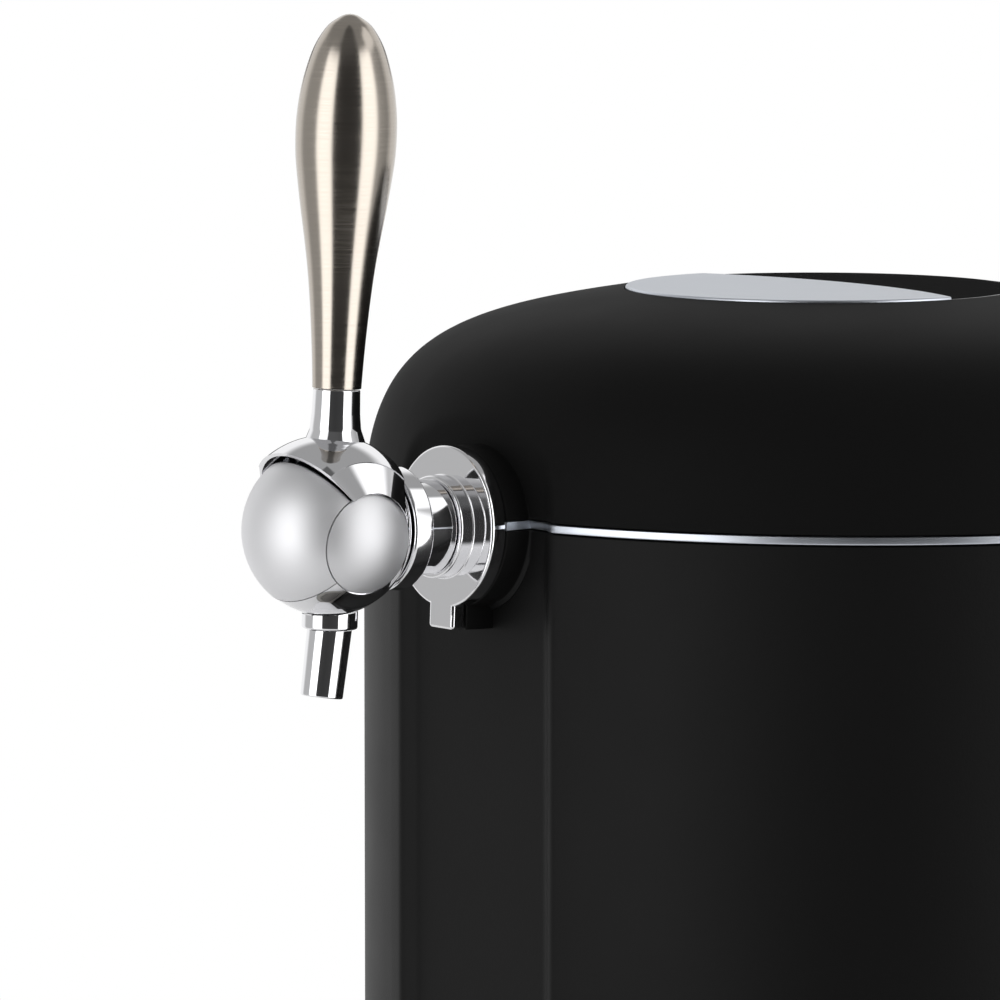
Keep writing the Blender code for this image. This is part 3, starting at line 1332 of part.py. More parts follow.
def tap_head():
    """Ball of the tap with its satin caps, collar, nozzle, pin and valve."""
    centre = pivot("tap_ball_centre", BALL_CENTRE, tilt=-TAP_TILT)
    past = BALL_RADIUS + OVERRUN
    shell_radius = BALL_RADIUS - CAP_SHELL
    sink = -PIVOT_CAP_DROP

    head = place(ball("tap_ball", BALL_RADIUS, PARTS), centre)
    rear = place(block("ball_rear", (-past, TAP_REACH - RING_FRONT - GAP, -past), (past, past, past)), centre)
    margin = degrees(GAP / BALL_RADIUS)
    cap_room = wedge(
        "front_cap_room", -FRONT_CAP_ANGLE - margin, FRONT_CAP_ANGLE + margin, past, past
    )
    cut(place(cap_room, centre), place(ball("front_cap_back", shell_radius - GAP), centre))
    slot = lever_slot(past)
    half_room = LEVER_SLOT_HALF_WIDTH + GAP
    eye_room = rod(
        "lever_eye_room", LEVER_EYE_RADIUS + RUNNING_GAP, (-half_room, 0, 0), (half_room, 0, 0)
    )
    pin_hole = rod("pivot_pin_hole", PIVOT_PIN_RADIUS + GAP, (-past, 0, 0), (past, 0, 0))
    valve_bore = rod("valve_bore", VALVE_BORE_RADIUS, (0, 0, -past), (0, 0, -VALVE_BORE_TOP))
    passage = rod(
        "ball_passage", BEER_BORE_RADIUS, (0, 0, -BEER_BORE_DROP), (0, past, -BEER_BORE_DROP), TINY_STEPS
    )
    for tool in (slot, eye_room, pin_hole, valve_bore, passage):
        place(tool, centre)
    cut(head, rear, cap_room, slot, eye_room, pin_hole, valve_bore, passage)
    for side in (-1, 1):
        seat = rod(
            f"pivot_cap_room_{side}", PIVOT_CAP_RADIUS + GAP, (side * (PIVOT_CAP_ROOT - GAP), 0, sink),
            (side * past, 0, sink), MIDDLE_STEPS,
        )
        cut(head, place(seat, centre))
    finish(head, CHROME)

    front = place(ball("front_cap", BALL_RADIUS, PARTS), centre)
    sector = wedge("front_cap_sector", -FRONT_CAP_ANGLE, FRONT_CAP_ANGLE, past, past)
    inside = place(ball("front_cap_inside", shell_radius), centre)
    sides = rod("front_cap_sides", PIVOT_CAP_RADIUS + GAP, (-past, 0, sink), (past, 0, sink), MIDDLE_STEPS)
    keep(front, place(sector, centre))
    cut(front, inside, place(sides, centre))
    finish(front, SATIN_CHROME)

    for side, name in ((-1, "pivot_cap_left"), (1, "pivot_cap_right")):
        cap = place(ball(name, BALL_RADIUS, PARTS), centre)
        zone = rod(
            name + "_zone", PIVOT_CAP_RADIUS, (side * PIVOT_CAP_ROOT, 0, sink), (side * past, 0, sink),
            MIDDLE_STEPS,
        )
        keep(cap, place(zone, centre))
        finish(cap, SATIN_CHROME)

    pin_end = PIVOT_CAP_ROOT - GAP
    pin = rod("pivot_pin", PIVOT_PIN_RADIUS, (-pin_end, 0, 0), (pin_end, 0, 0), SMALL_STEPS, PARTS)
    finish(place(pin, centre), STEEL)
    nozzle_and_valve(centre, past)
    return centre


def nozzle_and_valve(centre, past):
    """Collar and leaning nozzle under the ball, and the valve stem inside."""
    collar = rod(
        "nozzle_collar", COLLAR_RADIUS, (0, NOZZLE_SETBACK, -COLLAR_BOTTOM),
        (0, NOZZLE_SETBACK, -COLLAR_TOP), SMALL_STEPS, PARTS,
    )
    place(collar, centre)
    seat = place(ball("collar_seat", BALL_RADIUS + GAP), centre)
    throat = place(
        rod("collar_throat", NOZZLE_BORE_RADIUS, (0, NOZZLE_SETBACK / 2, -past), (0, NOZZLE_SETBACK / 2, 0)),
        centre,
    )
    cut(collar, seat, throat)
    finish(collar, CHROME)

    root = pivot("nozzle_root", (0.0, NOZZLE_SETBACK, -COLLAR_BOTTOM - GAP), centre, -NOZZLE_LEAN)
    spout = turned(
        "nozzle",
        [
            (NOZZLE_BORE_RADIUS, -NOZZLE_LENGTH), (NOZZLE_BORE_RADIUS, OVERRUN),
            (NOZZLE_TOP_RADIUS, OVERRUN), (NOZZLE_TOP_RADIUS, 0.0),
            (NOZZLE_TIP_RADIUS, -NOZZLE_LENGTH),
        ],
        SMALL_STEPS, PARTS, closed=True,
    )
    place(spout, root)
    above = block(
        "above_nozzle", (-past, -past, -COLLAR_BOTTOM - GAP), (past, past, 0.0)
    )
    cut(spout, place(above, centre))
    finish(spout, CHROME)

    stem = turned(
        "valve_stem",
        [
            (0.0, -STEM_TOP), (STEM_RADIUS, -STEM_TOP), (STEM_RADIUS, -STEM_BOTTOM),
            (STEM_HEAD_RADIUS, -STEM_BOTTOM), (STEM_HEAD_RADIUS, -STEM_BOTTOM - STEM_HEAD_LENGTH),
            (0.0, -STEM_BOTTOM - STEM_HEAD_LENGTH),
        ],
        SMALL_STEPS, PARTS,
    )
    finish(place(stem, centre), STEEL)
    ring = turned(
        "valve_seal",
        [
            (STEM_RADIUS + GAP, -SEAL_RING_DROP - SEAL_RING_HEIGHT), (STEM_RADIUS + GAP, -SEAL_RING_DROP),
            (SEAL_RING_RADIUS, -SEAL_RING_DROP), (SEAL_RING_RADIUS, -SEAL_RING_DROP - SEAL_RING_HEIGHT),
        ],
        SMALL_STEPS, PARTS, closed=True,
    )
    finish(place(ring, centre), BLACK_RUBBER)


def lever(centre):
    """Hood over the ball, the rod to the pivot, the neck and the steel grip."""
    hub = pivot("tap_lever_pivot", centre.location, tilt=-TAP_TILT)
    upright = pivot("lever_upright", (0.0, LEVER_SETBACK, 0.0), hub, -LEVER_LEAN)
    past = HOOD_RADIUS + OVERRUN

    hood = place(ball("lever_hood", HOOD_RADIUS, PARTS), hub)
    rear_low = radians(90.0 - HOOD_REAR_ANGLE)
    front_wall = block("hood_front_side", (-past, 0.0, -2 * past), (past, 2 * past, 2 * past))
    place(front_wall, hub, turn=(90.0 - HOOD_FRONT_ANGLE, 0.0, 0.0))
    rear_wall = block("hood_rear_side", (-past, -2 * past, -2 * past), (past, 0.0, 2 * past))
    shift = HOOD_REAR_SETBACK * sin(rear_low)
    place(
        rear_wall, hub, (0.0, shift * sin(rear_low), -shift * cos(rear_low)),
        (-HOOD_REAR_ANGLE, 0.0, 0.0),
    )
    keep(hood, front_wall, rear_wall)
    cut(hood, place(ball("hood_room", HOOD_INNER_RADIUS), hub))
    for side in (-1, 1):
        eye = turned(
            f"hood_eye_{side}",
            [
                (0.0, past), (HOOD_FLARE_RADIUS, past), (HOOD_FLARE_RADIUS, HOOD_FLARE_DEPTH),
                (HOOD_EYE_RADIUS, HOOD_EYE_DEPTH), (HOOD_EYE_RADIUS, 0.0), (0.0, 0.0),
            ],
            MIDDLE_STEPS,
        )
        cut(hood, place(eye, hub, turn=(0.0, side * 90.0, 0.0)))
    hole = rod("hood_rod_hole", LEVER_ROD_RADIUS + GAP, (0, 0, 0), (0, 0, past))
    cut(hood, place(hole, upright))
    finish(hood, CHROME)

    eye = rod(
        "lever_rod", LEVER_EYE_RADIUS, (-LEVER_ROD_RADIUS, 0, 0), (LEVER_ROD_RADIUS, 0, 0),
        SMALL_STEPS, PARTS,
    )
    shaft = rod("lever_shaft", LEVER_ROD_RADIUS, (0, 0, 0), (0, 0, NECK_BASE + NECK_SPIGOT_LENGTH))
    pin_eye = rod("lever_pin_eye", PIVOT_HOLE_RADIUS, (-past, 0, 0), (past, 0, 0))
    join(place(eye, hub), place(shaft, upright))
    cut(eye, place(pin_eye, hub))
    finish(eye, STEEL)

    top = NECK_TOP
    waist = (NECK_BASE + NECK_TOP) / 2
    socket = LEVER_ROD_RADIUS + GAP
    socket_top = NECK_BASE + NECK_SPIGOT_LENGTH + GAP
    neck = turned(
        "lever_neck",
        [
            (0.0, top + NECK_SPIGOT_LENGTH), (NECK_SPIGOT_RADIUS, top + NECK_SPIGOT_LENGTH),
            (NECK_SPIGOT_RADIUS, top), (NECK_TOP_RADIUS, top), (NECK_WAIST_RADIUS, waist),
            (NECK_WAIST_RADIUS + GAP, waist - WALL), (NECK_FOOT_RADIUS, NECK_BASE - WALL),
            (NECK_FOOT_RADIUS, 0.0), (socket, 0.0), (socket, socket_top), (0.0, socket_top),
        ],
        SMALL_STEPS, PARTS,
    )
    place(neck, upright)
    cut(neck, place(ball("neck_seat", HOOD_RADIUS + GAP), hub))
    finish(neck, CHROME)

    bottom = top + GAP
    outline = [(0.0, bottom + HANDLE_LENGTH)]
    for along, wide in HANDLE_OUTLINE_SHARES:
        outline.append((wide * HANDLE_RADIUS, bottom + HANDLE_LENGTH * (1.0 - along)))
    bore = NECK_SPIGOT_RADIUS + GAP
    outline += [(bore, bottom), (bore, bottom + HANDLE_BORE_DEPTH), (0.0, bottom + HANDLE_BORE_DEPTH)]
    grip = turned("lever_handle", outline, SMALL_STEPS, PARTS)
    finish(place(grip, upright), BRUSHED_STEEL)


def beer_line():
    """Elbow behind the tap, hose along the rim and the parked keg coupler."""
    low = CASING_TOP + GAP
    middle = low + HOSE_RADIUS
    front = GAP + SHANK_RADIUS * tan(radians(TAP_TILT)) - SHANK_END
    elbow = block(
        "tap_elbow", (-ELBOW_HALF_WIDTH, front, low),
        (ELBOW_HALF_WIDTH, front + ELBOW_DEPTH, low + ELBOW_HEIGHT), PARTS,
    )
    finish(elbow, GREY_PLASTIC)

    spot = coupler_place()
    outer = COUPLER_RADIUS
    coupler = turned(
        "keg_coupler",
        [
            (COUPLER_BORE_RADIUS, 0.0), (COUPLER_BORE_RADIUS, COUPLER_POST_HEIGHT + WALL),
            (0.0, COUPLER_POST_HEIGHT + WALL), (0.0, COUPLER_HEIGHT), (outer / 2, COUPLER_HEIGHT),
            (outer, COUPLER_HEIGHT - outer / 2), (outer, 0.0),
        ],
        SMALL_STEPS, PARTS, closed=True,
    )
    place(coupler, location=(spot.x, spot.y, low))
    finish(coupler, GREY_PLASTIC)

    start = 270.0 - degrees((ELBOW_HALF_WIDTH + 2 * GAP) / HOSE_CIRCLE)
    end = COUPLER_ANGLE + 2 * degrees(asin((COUPLER_RADIUS + GAP) / (2 * HOSE_CIRCLE)))
    curve = bpy.data.curves.new("beer_hose", "CURVE")
    curve.dimensions = "3D"
    curve.bevel_depth = HOSE_RADIUS
    curve.bevel_resolution = 2
    curve.use_fill_caps = True
    route = arc(HOSE_CIRCLE, start, end, HOSE_STEPS)
    spline = curve.splines.new("POLY")
    spline.points.add(len(route) - 1)
    for point, (x, y) in zip(spline.points, route):
        point.co = (x, y, middle, 1.0)
    hose = bpy.data.objects.new("beer_hose", curve)
    PARTS.objects.link(hose)
    finish(hose, CLEAR_HOSE)


def dispenser():
    """The whole machine."""
    outer_casing()
    trim_ring()
    chamber_rim()
    keg_liner()
    foam_jacket()
    base_plate()
    feet()
    tray_dock()
    drip_tray()
    drip_grid()
    cooling_unit()
    fan()
    rear_housing()
    rear_screws()
    power_board()
    inlet_socket()
    power_switch()
    lid(hinge())
    tap_mount()
    lever(tap_head())
    beer_line()


dispenser()
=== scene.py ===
"""The looks of a countertop draught dispenser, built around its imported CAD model.

Metres, +Z up, -Y is the front where the tap is, Z = 0 is the counter.
The file is laid out as an add-on and run as a script: main() registers its
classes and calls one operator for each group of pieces.
"""

from math import cos, degrees, hypot, pi, radians, sin, sqrt, tan

import bmesh
import bpy
from mathutils import Matrix, Vector


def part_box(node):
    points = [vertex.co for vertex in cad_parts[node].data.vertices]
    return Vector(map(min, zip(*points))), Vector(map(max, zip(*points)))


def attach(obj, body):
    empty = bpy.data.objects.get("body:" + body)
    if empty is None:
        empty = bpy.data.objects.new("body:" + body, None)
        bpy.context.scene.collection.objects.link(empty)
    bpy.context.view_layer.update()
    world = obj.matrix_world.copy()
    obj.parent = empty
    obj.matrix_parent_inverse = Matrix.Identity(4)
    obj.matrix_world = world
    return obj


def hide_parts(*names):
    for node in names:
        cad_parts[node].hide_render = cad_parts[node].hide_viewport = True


bl_info = {
    "name": "Draught Dispenser Looks",
    "version": (1, 0, 0),
    "blender": (4, 5, 0),
    "location": "3D View > Sidebar > Dispenser",
    "description": "Builds the visible pieces of a draught dispenser around its CAD frame",
    "category": "Add Mesh",
}

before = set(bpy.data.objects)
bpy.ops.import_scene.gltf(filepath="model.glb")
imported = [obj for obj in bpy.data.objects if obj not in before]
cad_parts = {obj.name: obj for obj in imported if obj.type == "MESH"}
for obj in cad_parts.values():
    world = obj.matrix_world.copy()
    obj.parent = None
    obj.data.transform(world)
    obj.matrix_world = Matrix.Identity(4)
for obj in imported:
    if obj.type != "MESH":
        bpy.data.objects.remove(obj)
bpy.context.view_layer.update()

# Steps round a full turn, and the angle over which an edge stays crisp
FINE_STEPS = 128
ROUND_STEPS = 96
SMALL_STEPS = 48
# For a cutter that shares its axis with a ball, so that no edges coincide
ODD_STEPS = 117
CRISP_ANGLE = radians(32)
SOFT_ANGLE = radians(50)
# Gap left between two pieces that meet, and how far a cutter runs past its work
SEAM = 0.0003
OVERRUN = 0.010
# Points closer than this are one
MERGE = 0.00001


def linear(code):
    """The linear colour of an sRGB hex value."""
    parts = [int(code[start:start + 2], 16) / 255 for start in (1, 3, 5)]
    return tuple(c / 12.92 if c <= 0.04045 else ((c + 0.055) / 1.055) ** 2.4 for c in parts)


def length(name, description, default):
    """A size in metres that a user can change."""
    return bpy.props.FloatProperty(
        name=name, description=description, default=default, unit="LENGTH", precision=4
    )


def number(name, description, default):
    """A plain number that a user can change."""
    return bpy.props.FloatProperty(name=name, description=description, default=default)


def tilt(name, description, default):
    """An angle that a user can change, given in degrees."""
    return bpy.props.FloatProperty(
        name=name, description=description, default=radians(default), subtype="ANGLE"
    )


def count(name, description, default):
    """A number of like pieces."""
    return bpy.props.IntProperty(name=name, description=description, default=default, min=1)


def colour(name, description, code):
    """A colour that a user can change, given as sRGB hex."""
    return bpy.props.FloatVectorProperty(
        name=name, description=description, default=linear(code), subtype="COLOR", size=3
    )


class BodySizes(bpy.types.PropertyGroup):
    """Sizes of the round body and its flat front panel."""

    radius: length("Radius", "Outside of the round casing", 0.137)
    wall: length("Wall", "Thickness of the casing and of the lid", 0.003)
    bottom: length("Bottom", "Lower edge of the casing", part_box("outer_casing")[0].z)
    casing_top: length("Casing top", "Upper edge of the casing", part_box("outer_casing")[1].z)
    trim_bottom: length("Trim bottom", "Lower side of the bright strip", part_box("trim_ring")[0].z)
    trim_top: length("Trim top", "Upper side of the bright strip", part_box("trim_ring")[1].z)
    trim_width: length("Trim width", "Width of the bright strip", 0.006)
    panel_depth: length("Panel depth", "From the body's axis to the flat panel", 0.1306)
    panel_half_width: length("Panel half width", "Half of the flat panel's width", 0.0315)
    panel_top: length("Panel top", "Height of the panel's arch", 0.332)
    panel_corner: length("Panel corner", "Radius of the arch's corners", 0.020)
    panel_blend: length("Panel blend", "Width over which the panel runs out", 0.0034)
    boss_radius: length("Boss radius", "Round boss behind the tap", 0.0219)
    boss_depth: length("Boss depth", "Front of the boss along the tap's axis", 0.1385)
    key_drop: length("Key drop", "Lower end of the boss's key", 0.0278)
    key_width: length("Key width", "Width of the key", 0.0105)
    bore_radius: length("Bore radius", "Hole for the tap's shank", 0.0113)


class LidSizes(bpy.types.PropertyGroup):
    """Sizes of the domed lid."""

    bottom: length("Bottom", "Lower edge of the lid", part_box("lid_shell")[0].z)
    spring: length("Spring line", "Height at which the side starts to turn in", 0.2934)
    side_pull: length("Side pull", "How far the side stays upright", 0.0507)
    top_pull: length("Top pull", "How far the top stays flat", 0.0525)
    top_drop: length("Top drop", "How far the top falls over that pull", 0.0078)
    top_radius: length("Top radius", "Radius of the round recess in the top", 0.055)
    top: length("Top", "Height of the lid's top", 0.3569)
    lean_share: number("Lean share", "Forward shift for each metre that the dome narrows", 0.134)
    recess: length("Recess", "Depth of the recess", 0.0022)
    proud: length("Proud", "How far the silver plate stands above the lid", 0.0007)
    edge_setback: length("Edge setback", "Silver plate's rear edge behind the axis", 0.0007)
    edge_radius: length("Edge radius", "Radius of that edge", 0.145)


class TapSizes(bpy.types.PropertyGroup):
    """Sizes of the tap, along its slightly raised axis and out from it."""

    reach: length("Reach", "From the body's axis to the middle of the ball", 0.182)
    height: length("Height", "Middle of the ball above the counter", 0.300)
    slope: tilt("Slope", "How far the tap's nose is raised", 2.3)
    ball_radius: length("Ball radius", "Radius of the ball", 0.0229)
    cap_shell: length("Cap shell", "Thickness of the front cap", 0.0020)
    cap_angle: tilt("Cap angle", "Half of the front cap's sweep", 53.6)
    pivot_cap_radius: length("Pivot cap radius", "Radius of the round caps at the sides", 0.0133)
    pivot_cap_drop: length("Pivot cap drop", "Their middle below the pivot", 0.0020)
    pivot_cap_root: length("Pivot cap root", "Inner side of the caps", 0.0160)
    flange_back: length("Flange back", "Rear face of the flange", 0.1388)
    flange_front: length("Flange front", "Front face of the flange", 0.1434)
    flange_radius: length("Flange radius", "Radius of the flange", 0.0219)
    step_radius: length("Step radius", "Radius of the step on the flange", 0.0139)
    step_front: length("Step front", "Front of that step", 0.1478)
    barrel_radius: length("Barrel radius", "Radius of the barrel", 0.0129)
    ring_radius: length("Ring radius", "Radius of the ring behind the ball", 0.0168)
    ring_back: length("Ring back", "Rear face of the ring", 0.1587)
    ring_front: length("Ring front", "Front face of the ring", 0.1648)
    shank_radius: length("Shank radius", "Radius of the shank through the wall", 0.0110)
    shank_end: length("Shank end", "Inner end of the shank", 0.1125)
    bore_radius: length("Bore radius", "Radius of the beer bore at the shank's end", 0.0020)
    nut_radius: length("Nut radius", "Round nut behind the wall", 0.0145)
    nut_thickness: length("Nut thickness", "Thickness of that nut", 0.0050)
    collar_radius: length("Collar radius", "Collar under the ball", 0.0075)
    collar_top: length("Collar top", "Upper end of the collar below the pivot", 0.0200)
    collar_bottom: length("Collar bottom", "Lower end of the collar below the pivot", 0.0263)
    nozzle_setback: length("Nozzle setback", "Nozzle behind the ball's middle", 0.0017)
    nozzle_lean: tilt("Nozzle lean", "How far the nozzle's tip points forward", 6.2)
    nozzle_top_radius: length("Nozzle top radius", "Radius where the nozzle starts", 0.0060)
    nozzle_tip_radius: length("Nozzle tip radius", "Radius at the nozzle's tip", 0.0057)
    nozzle_bore: length("Nozzle bore", "Radius of the bore", 0.0042)
    nozzle_length: length("Nozzle length", "Length below the collar", 0.0182)


class LeverSizes(bpy.types.PropertyGroup):
    """Sizes of the lever: hood, neck and grip."""

    hood_inner: length("Hood inside", "Inner radius of the hood at its sides", 0.0235)
    room_stretch: number("Room stretch", "How much wider the room is from front to rear", 1.05)
    hood_radius: length("Hood radius", "Outer radius of the hood", 0.0256)
    front_angle: tilt("Front angle", "Front edge above the forward direction", 54.7)
    rear_setback: length("Rear setback", "Rear edge behind the pivot", 0.0085)
    rear_angle: tilt("Rear angle", "Lean of the rear edge", 17.0)
    eye_radius: length("Eye radius", "Round opening at each side", 0.0117)
    eye_depth: length("Eye depth", "Place of that opening along the pivot", 0.0211)
    flare_radius: length("Flare radius", "Outer end of the opening's chamfer", 0.0196)
    flare_depth: length("Flare depth", "Place of that end along the pivot", 0.0162)
    setback: length("Setback", "Grip behind the pivot", 0.0014)
    lean: tilt("Lean", "Lean of the grip against the tap", 0.5)
    neck_base: length("Neck base", "Where the neck starts above the pivot", 0.0246)
    neck_top: length("Neck top", "Upper end of the neck", 0.0378)
    neck_top_radius: length("Neck top radius", "Radius there", 0.0063)
    neck_foot_radius: length("Neck foot radius", "Radius at the hood", 0.0090)
    grip_length: length("Grip length", "Length of the steel grip", 0.0995)
    grip_radius: length("Grip radius", "Largest radius of the grip", 0.0135)


class TraySizes(bpy.types.PropertyGroup):
    """Sizes of the drip tray and its slotted grid."""

    half_width: length("Half width", "Half of the tray's width, and its front's radius", 0.058)
    front: length("Front", "Front of the tray", -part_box("drip_tray")[0].y)
    bottom: length("Bottom", "Underside of the tray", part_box("drip_tray")[0].z)
    top: length("Top", "Upper edge of the tray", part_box("drip_tray")[1].z)
    wall: length("Wall", "Thickness of the tray's wall", 0.0026)
    lip: length("Lip", "Thickness of the edge beside the grid", 0.0012)
    floor: length("Floor", "Thickness of the floor", 0.0030)
    clearance: length("Clearance", "Gap to the casing", 0.0012)
    ledge: length("Ledge", "Depth of the grid's seat", 0.0026)
    grid_low: length("Grid low", "Underside of the grid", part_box("drip_grid")[0].z)
    grid_high: length("Grid high", "Upper side of the grid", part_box("drip_grid")[1].z)
    slot_width: length("Slot width", "Width of a slot", 0.0042)
    slot_pitch: length("Slot pitch", "From one slot to the next", 0.0085)
    slot_margin: length("Slot margin", "Metal left beside the slots", 0.0110)
    rear_margin: length("Rear margin", "Metal left behind the slots", 0.0120)
    slot_count: count("Slots", "Number of slots", 6)


class RearSizes(bpy.types.PropertyGroup):
    """Sizes of the rear housing and what shows on it."""

    half_width: length("Half width", "Half of the housing's width", 0.078)
    bottom: length("Bottom", "Underside of the housing", 0.030)
    top: length("Top", "Upper side of the housing", 0.262)
    back: length("Back", "Rear face of the housing", 0.2135)
    root: length("Root", "Front end of its side walls", 0.095)
    wall: length("Wall", "Thickness of its walls", 0.0025)
    corner: length("Corner", "Radius of its rear corners", 0.022)
    edge: length("Edge", "Rounding of its upper and lower edges", 0.0045)
    middle: length("Middle", "Height of the fan's axis", 0.165)
    vent_count: count("Vents", "Slots in line with the fan", 9)
    vent_pitch: length("Vent pitch", "From one slot to the next", 0.0095)
    vent_height: length("Vent height", "Height of a slot", 0.0045)
    vent_half_width: length("Vent half width", "Half of a slot's length", 0.042)
    side_count: count("Side vents", "Upright slots on each side", 7)
    side_start: length("Side start", "First upright slot", 0.132)
    side_pitch: length("Side pitch", "From one upright slot to the next", 0.009)
    side_width: length("Side width", "Width of an upright slot", 0.004)
    side_length: length("Side length", "Length of an upright slot", 0.070)
    fittings_height: length("Fittings height", "Middle of the inlet and the switch", 0.066)
    inlet_x: length("Inlet place", "Middle of the mains inlet", -0.034)
    switch_x: length("Switch place", "Middle of the switch", 0.034)
    screw_x: length("Screw place", "Screws beside the middle", 0.062)
    screw_inset: length("Screw inset", "Screws inside the upper and lower edge", 0.016)
    screw_radius: length("Screw radius", "Radius of a screw's head", 0.0035)
    screw_height: length("Screw height", "Height of a screw's head", 0.0012)
    fin_count: count("Fins", "Fins of the heat sink", 12)
    fin_thickness: length("Fin thickness", "Thickness of a fin", 0.002)
    sink_base: length("Sink base", "Thickness of the sink's plate", 0.005)
    blade_count: count("Blades", "Blades of the fan", 7)


class Colours(bpy.types.PropertyGroup):
    """Colours of the finishes."""

    coat: colour("Powder coat", "Matte black coat of the casing", "#0f0f0f")
    lid: colour("Lid plastic", "Matte black of the lid", "#0f0f0f")
    acrylic: colour("Acrylic", "Gloss black of the control panel", "#050506")
    chrome: colour("Chrome", "Polished plating", "#eeeef0")
    satin: colour("Satin chrome", "Brushed plating of the caps", "#e6e6e8")
    steel: colour("Stainless steel", "Brushed grip", "#bab2a8")
    sheet: colour("Sheet steel", "Brushed grid", "#d6d2cc")
    anodised: colour("Anodised plate", "Silver plate in the lid", "#cdd2da")
    aluminium: colour("Aluminium", "Bare sheet and extrusions", "#d4d5d7")
    zinc: colour("Zinc plate", "Screws, pins and the nut", "#c0c2c5")
    plastic: colour("Black plastic", "Moulded housing and tray", "#1a1a1b")
    grey: colour("Grey plastic", "Moulded rim and lid liner", "#717478")
    foam: colour("Foam", "Insulation", "#e6e2d6")
    rubber: colour("Rubber", "Feet and seals", "#1c1c1e")
    board: colour("Board", "Solder mask of the circuit boards", "#1f5c34")
    ceramic: colour("Ceramic", "Plates of the cooling module", "#eeece6")
    hose: colour("Hose", "Milky clear hose", "#dfe6e8")


class StudioSettings(bpy.types.PropertyGroup):
    """Camera: where it stands, where it aims and its lens."""

    azimuth: tilt("Azimuth", "Camera round from the front to the right", 52.65)
    elevation: tilt("Elevation", "Camera above the horizon", 6.18)
    distance: length("Distance", "Camera to its aim", 2.0)
    aim_side: length("Aim to the side", "Aim along the picture's width", -0.0986)
    aim_height: length("Aim height", "Aim above the counter", 0.2962)
    lens: number("Lens", "Focal length in millimetres", 255.096)
    sensor: number("Sensor", "Sensor width in millimetres", 36.0)


GROUPS = {
    "dispenser_body": BodySizes, "dispenser_lid": LidSizes, "dispenser_tap": TapSizes,
    "dispenser_lever": LeverSizes, "dispenser_tray": TraySizes, "dispenser_rear": RearSizes,
    "dispenser_colours": Colours, "dispenser_studio": StudioSettings,
}


def sizes(group):
    """One of the property groups of the scene."""
    return getattr(bpy.context.scene, "dispenser_" + group)


# Meshes


def new_object(name, work):
    """An object at the origin of a bmesh, linked to the scene."""
    mesh = bpy.data.meshes.new(name)
    work.to_mesh(mesh)
    work.free()
    thing = bpy.data.objects.new(name, mesh)
    bpy.context.scene.collection.objects.link(thing)
    return thing


def moved(thing, matrix):
    """Put a piece in its place by moving its mesh."""
    thing.data.transform(matrix)
    return thing


def bridge(work, rings, closed=False):
    """Faces between rings of points, where a single point is a pole."""
    steps = max(len(ring) for ring in rings)
    pairs = list(zip(rings, rings[1:]))
    if closed:
        pairs.append((rings[-1], rings[0]))
    for first, second in pairs:
        for step in range(steps):
            after = (step + 1) % steps
            corners = [
                first[step % len(first)], first[after % len(first)],
                second[after % len(second)], second[step % len(second)],
            ]
            corners = list(dict.fromkeys(corners))
            if len(corners) > 2:
                work.faces.new(corners)
    bmesh.ops.recalc_face_normals(work, faces=work.faces)


def lathe(name, outline, steps=ROUND_STEPS, closed=False, place=Matrix()):
    """A turned shape of radius and height points; radius 0 is a pole."""
    work = bmesh.new()
    rings = []
    for radius, height in outline:
        around = steps if radius > MERGE else 1
        turns = [2 * pi * step / steps for step in range(around)]
        rings.append([work.verts.new((radius * cos(a), radius * sin(a), height)) for a in turns])
    bridge(work, rings, closed)
    return moved(new_object(name, work), place)


def rounded(outline, steps=4, closed=False):
    """An outline with its corners rounded by each point's third value."""
    points = [Vector(point[:2]) for point in outline]
    made = []
    for index, point in enumerate(outline):
        at = points[index]
        radius = point[2] if len(point) > 2 else 0.0
        inside = closed or 0 < index < len(outline) - 1
        if not radius or not inside:
            made.append(tuple(at))
            continue
        before = points[index - 1] - at
        after = points[(index + 1) % len(points)] - at
        reach = radius / max(tan(before.angle(after) / 2), 0.05)
        reach = min(reach, before.length * 0.49, after.length * 0.49)
        start, end = at + before.normalized() * reach, at + after.normalized() * reach
        for step in range(steps + 1):
            t = step / steps
            made.append(tuple(start * (1 - t) ** 2 + at * 2 * t * (1 - t) + end * t ** 2))
    return made


def prism(name, outline, low, high, place=Matrix()):
    """A flat outline in X and Y given a height."""
    work = bmesh.new()
    ends = [[work.verts.new((x, y, z)) for x, y in outline] for z in (low, high)]
    for step in range(len(outline)):
        after = (step + 1) % len(outline)
        work.faces.new((ends[0][step], ends[0][after], ends[1][after], ends[1][step]))
    for end in ends:
        work.faces.new(end)
    bmesh.ops.recalc_face_normals(work, faces=work.faces)
    return moved(new_object(name, work), place)


def box(name, low, high, place=Matrix()):
    """A box from its low corner to its high corner."""
    outline = [(low[0], low[1]), (high[0], low[1]), (high[0], high[1]), (low[0], high[1])]
    return prism(name, outline, low[2], high[2], place)


def rod(name, radius, start, end, steps=ROUND_STEPS, place=Matrix()):
    """A cylinder from one point to another."""
    start, end = Vector(start), Vector(end)
    along = end - start
    turn = Matrix.Translation(start) @ along.to_track_quat("Z", "Y").to_matrix().to_4x4()
    outline = [(0.0, along.length), (radius, along.length), (radius, 0.0), (0.0, 0.0)]
    return lathe(name, outline, steps, place=place @ turn)


def ball(name, radius, place=Matrix()):
    """A sphere with its poles on X."""
    half = FINE_STEPS // 2
    outline = [
        (radius * sin(pi * step / half), radius * cos(pi * step / half)) for step in range(half + 1)
    ]
    return lathe(name, outline, FINE_STEPS, place=place @ Matrix.Rotation(pi / 2, 4, "Y"))


def arc(radius, start, end, steps, centre=(0.0, 0.0)):
    """Points on an arc, by angles in degrees."""
    turns = [radians(start + (end - start) * step / steps) for step in range(steps + 1)]
    return [(centre[0] + radius * cos(a), centre[1] + radius * sin(a)) for a in turns]


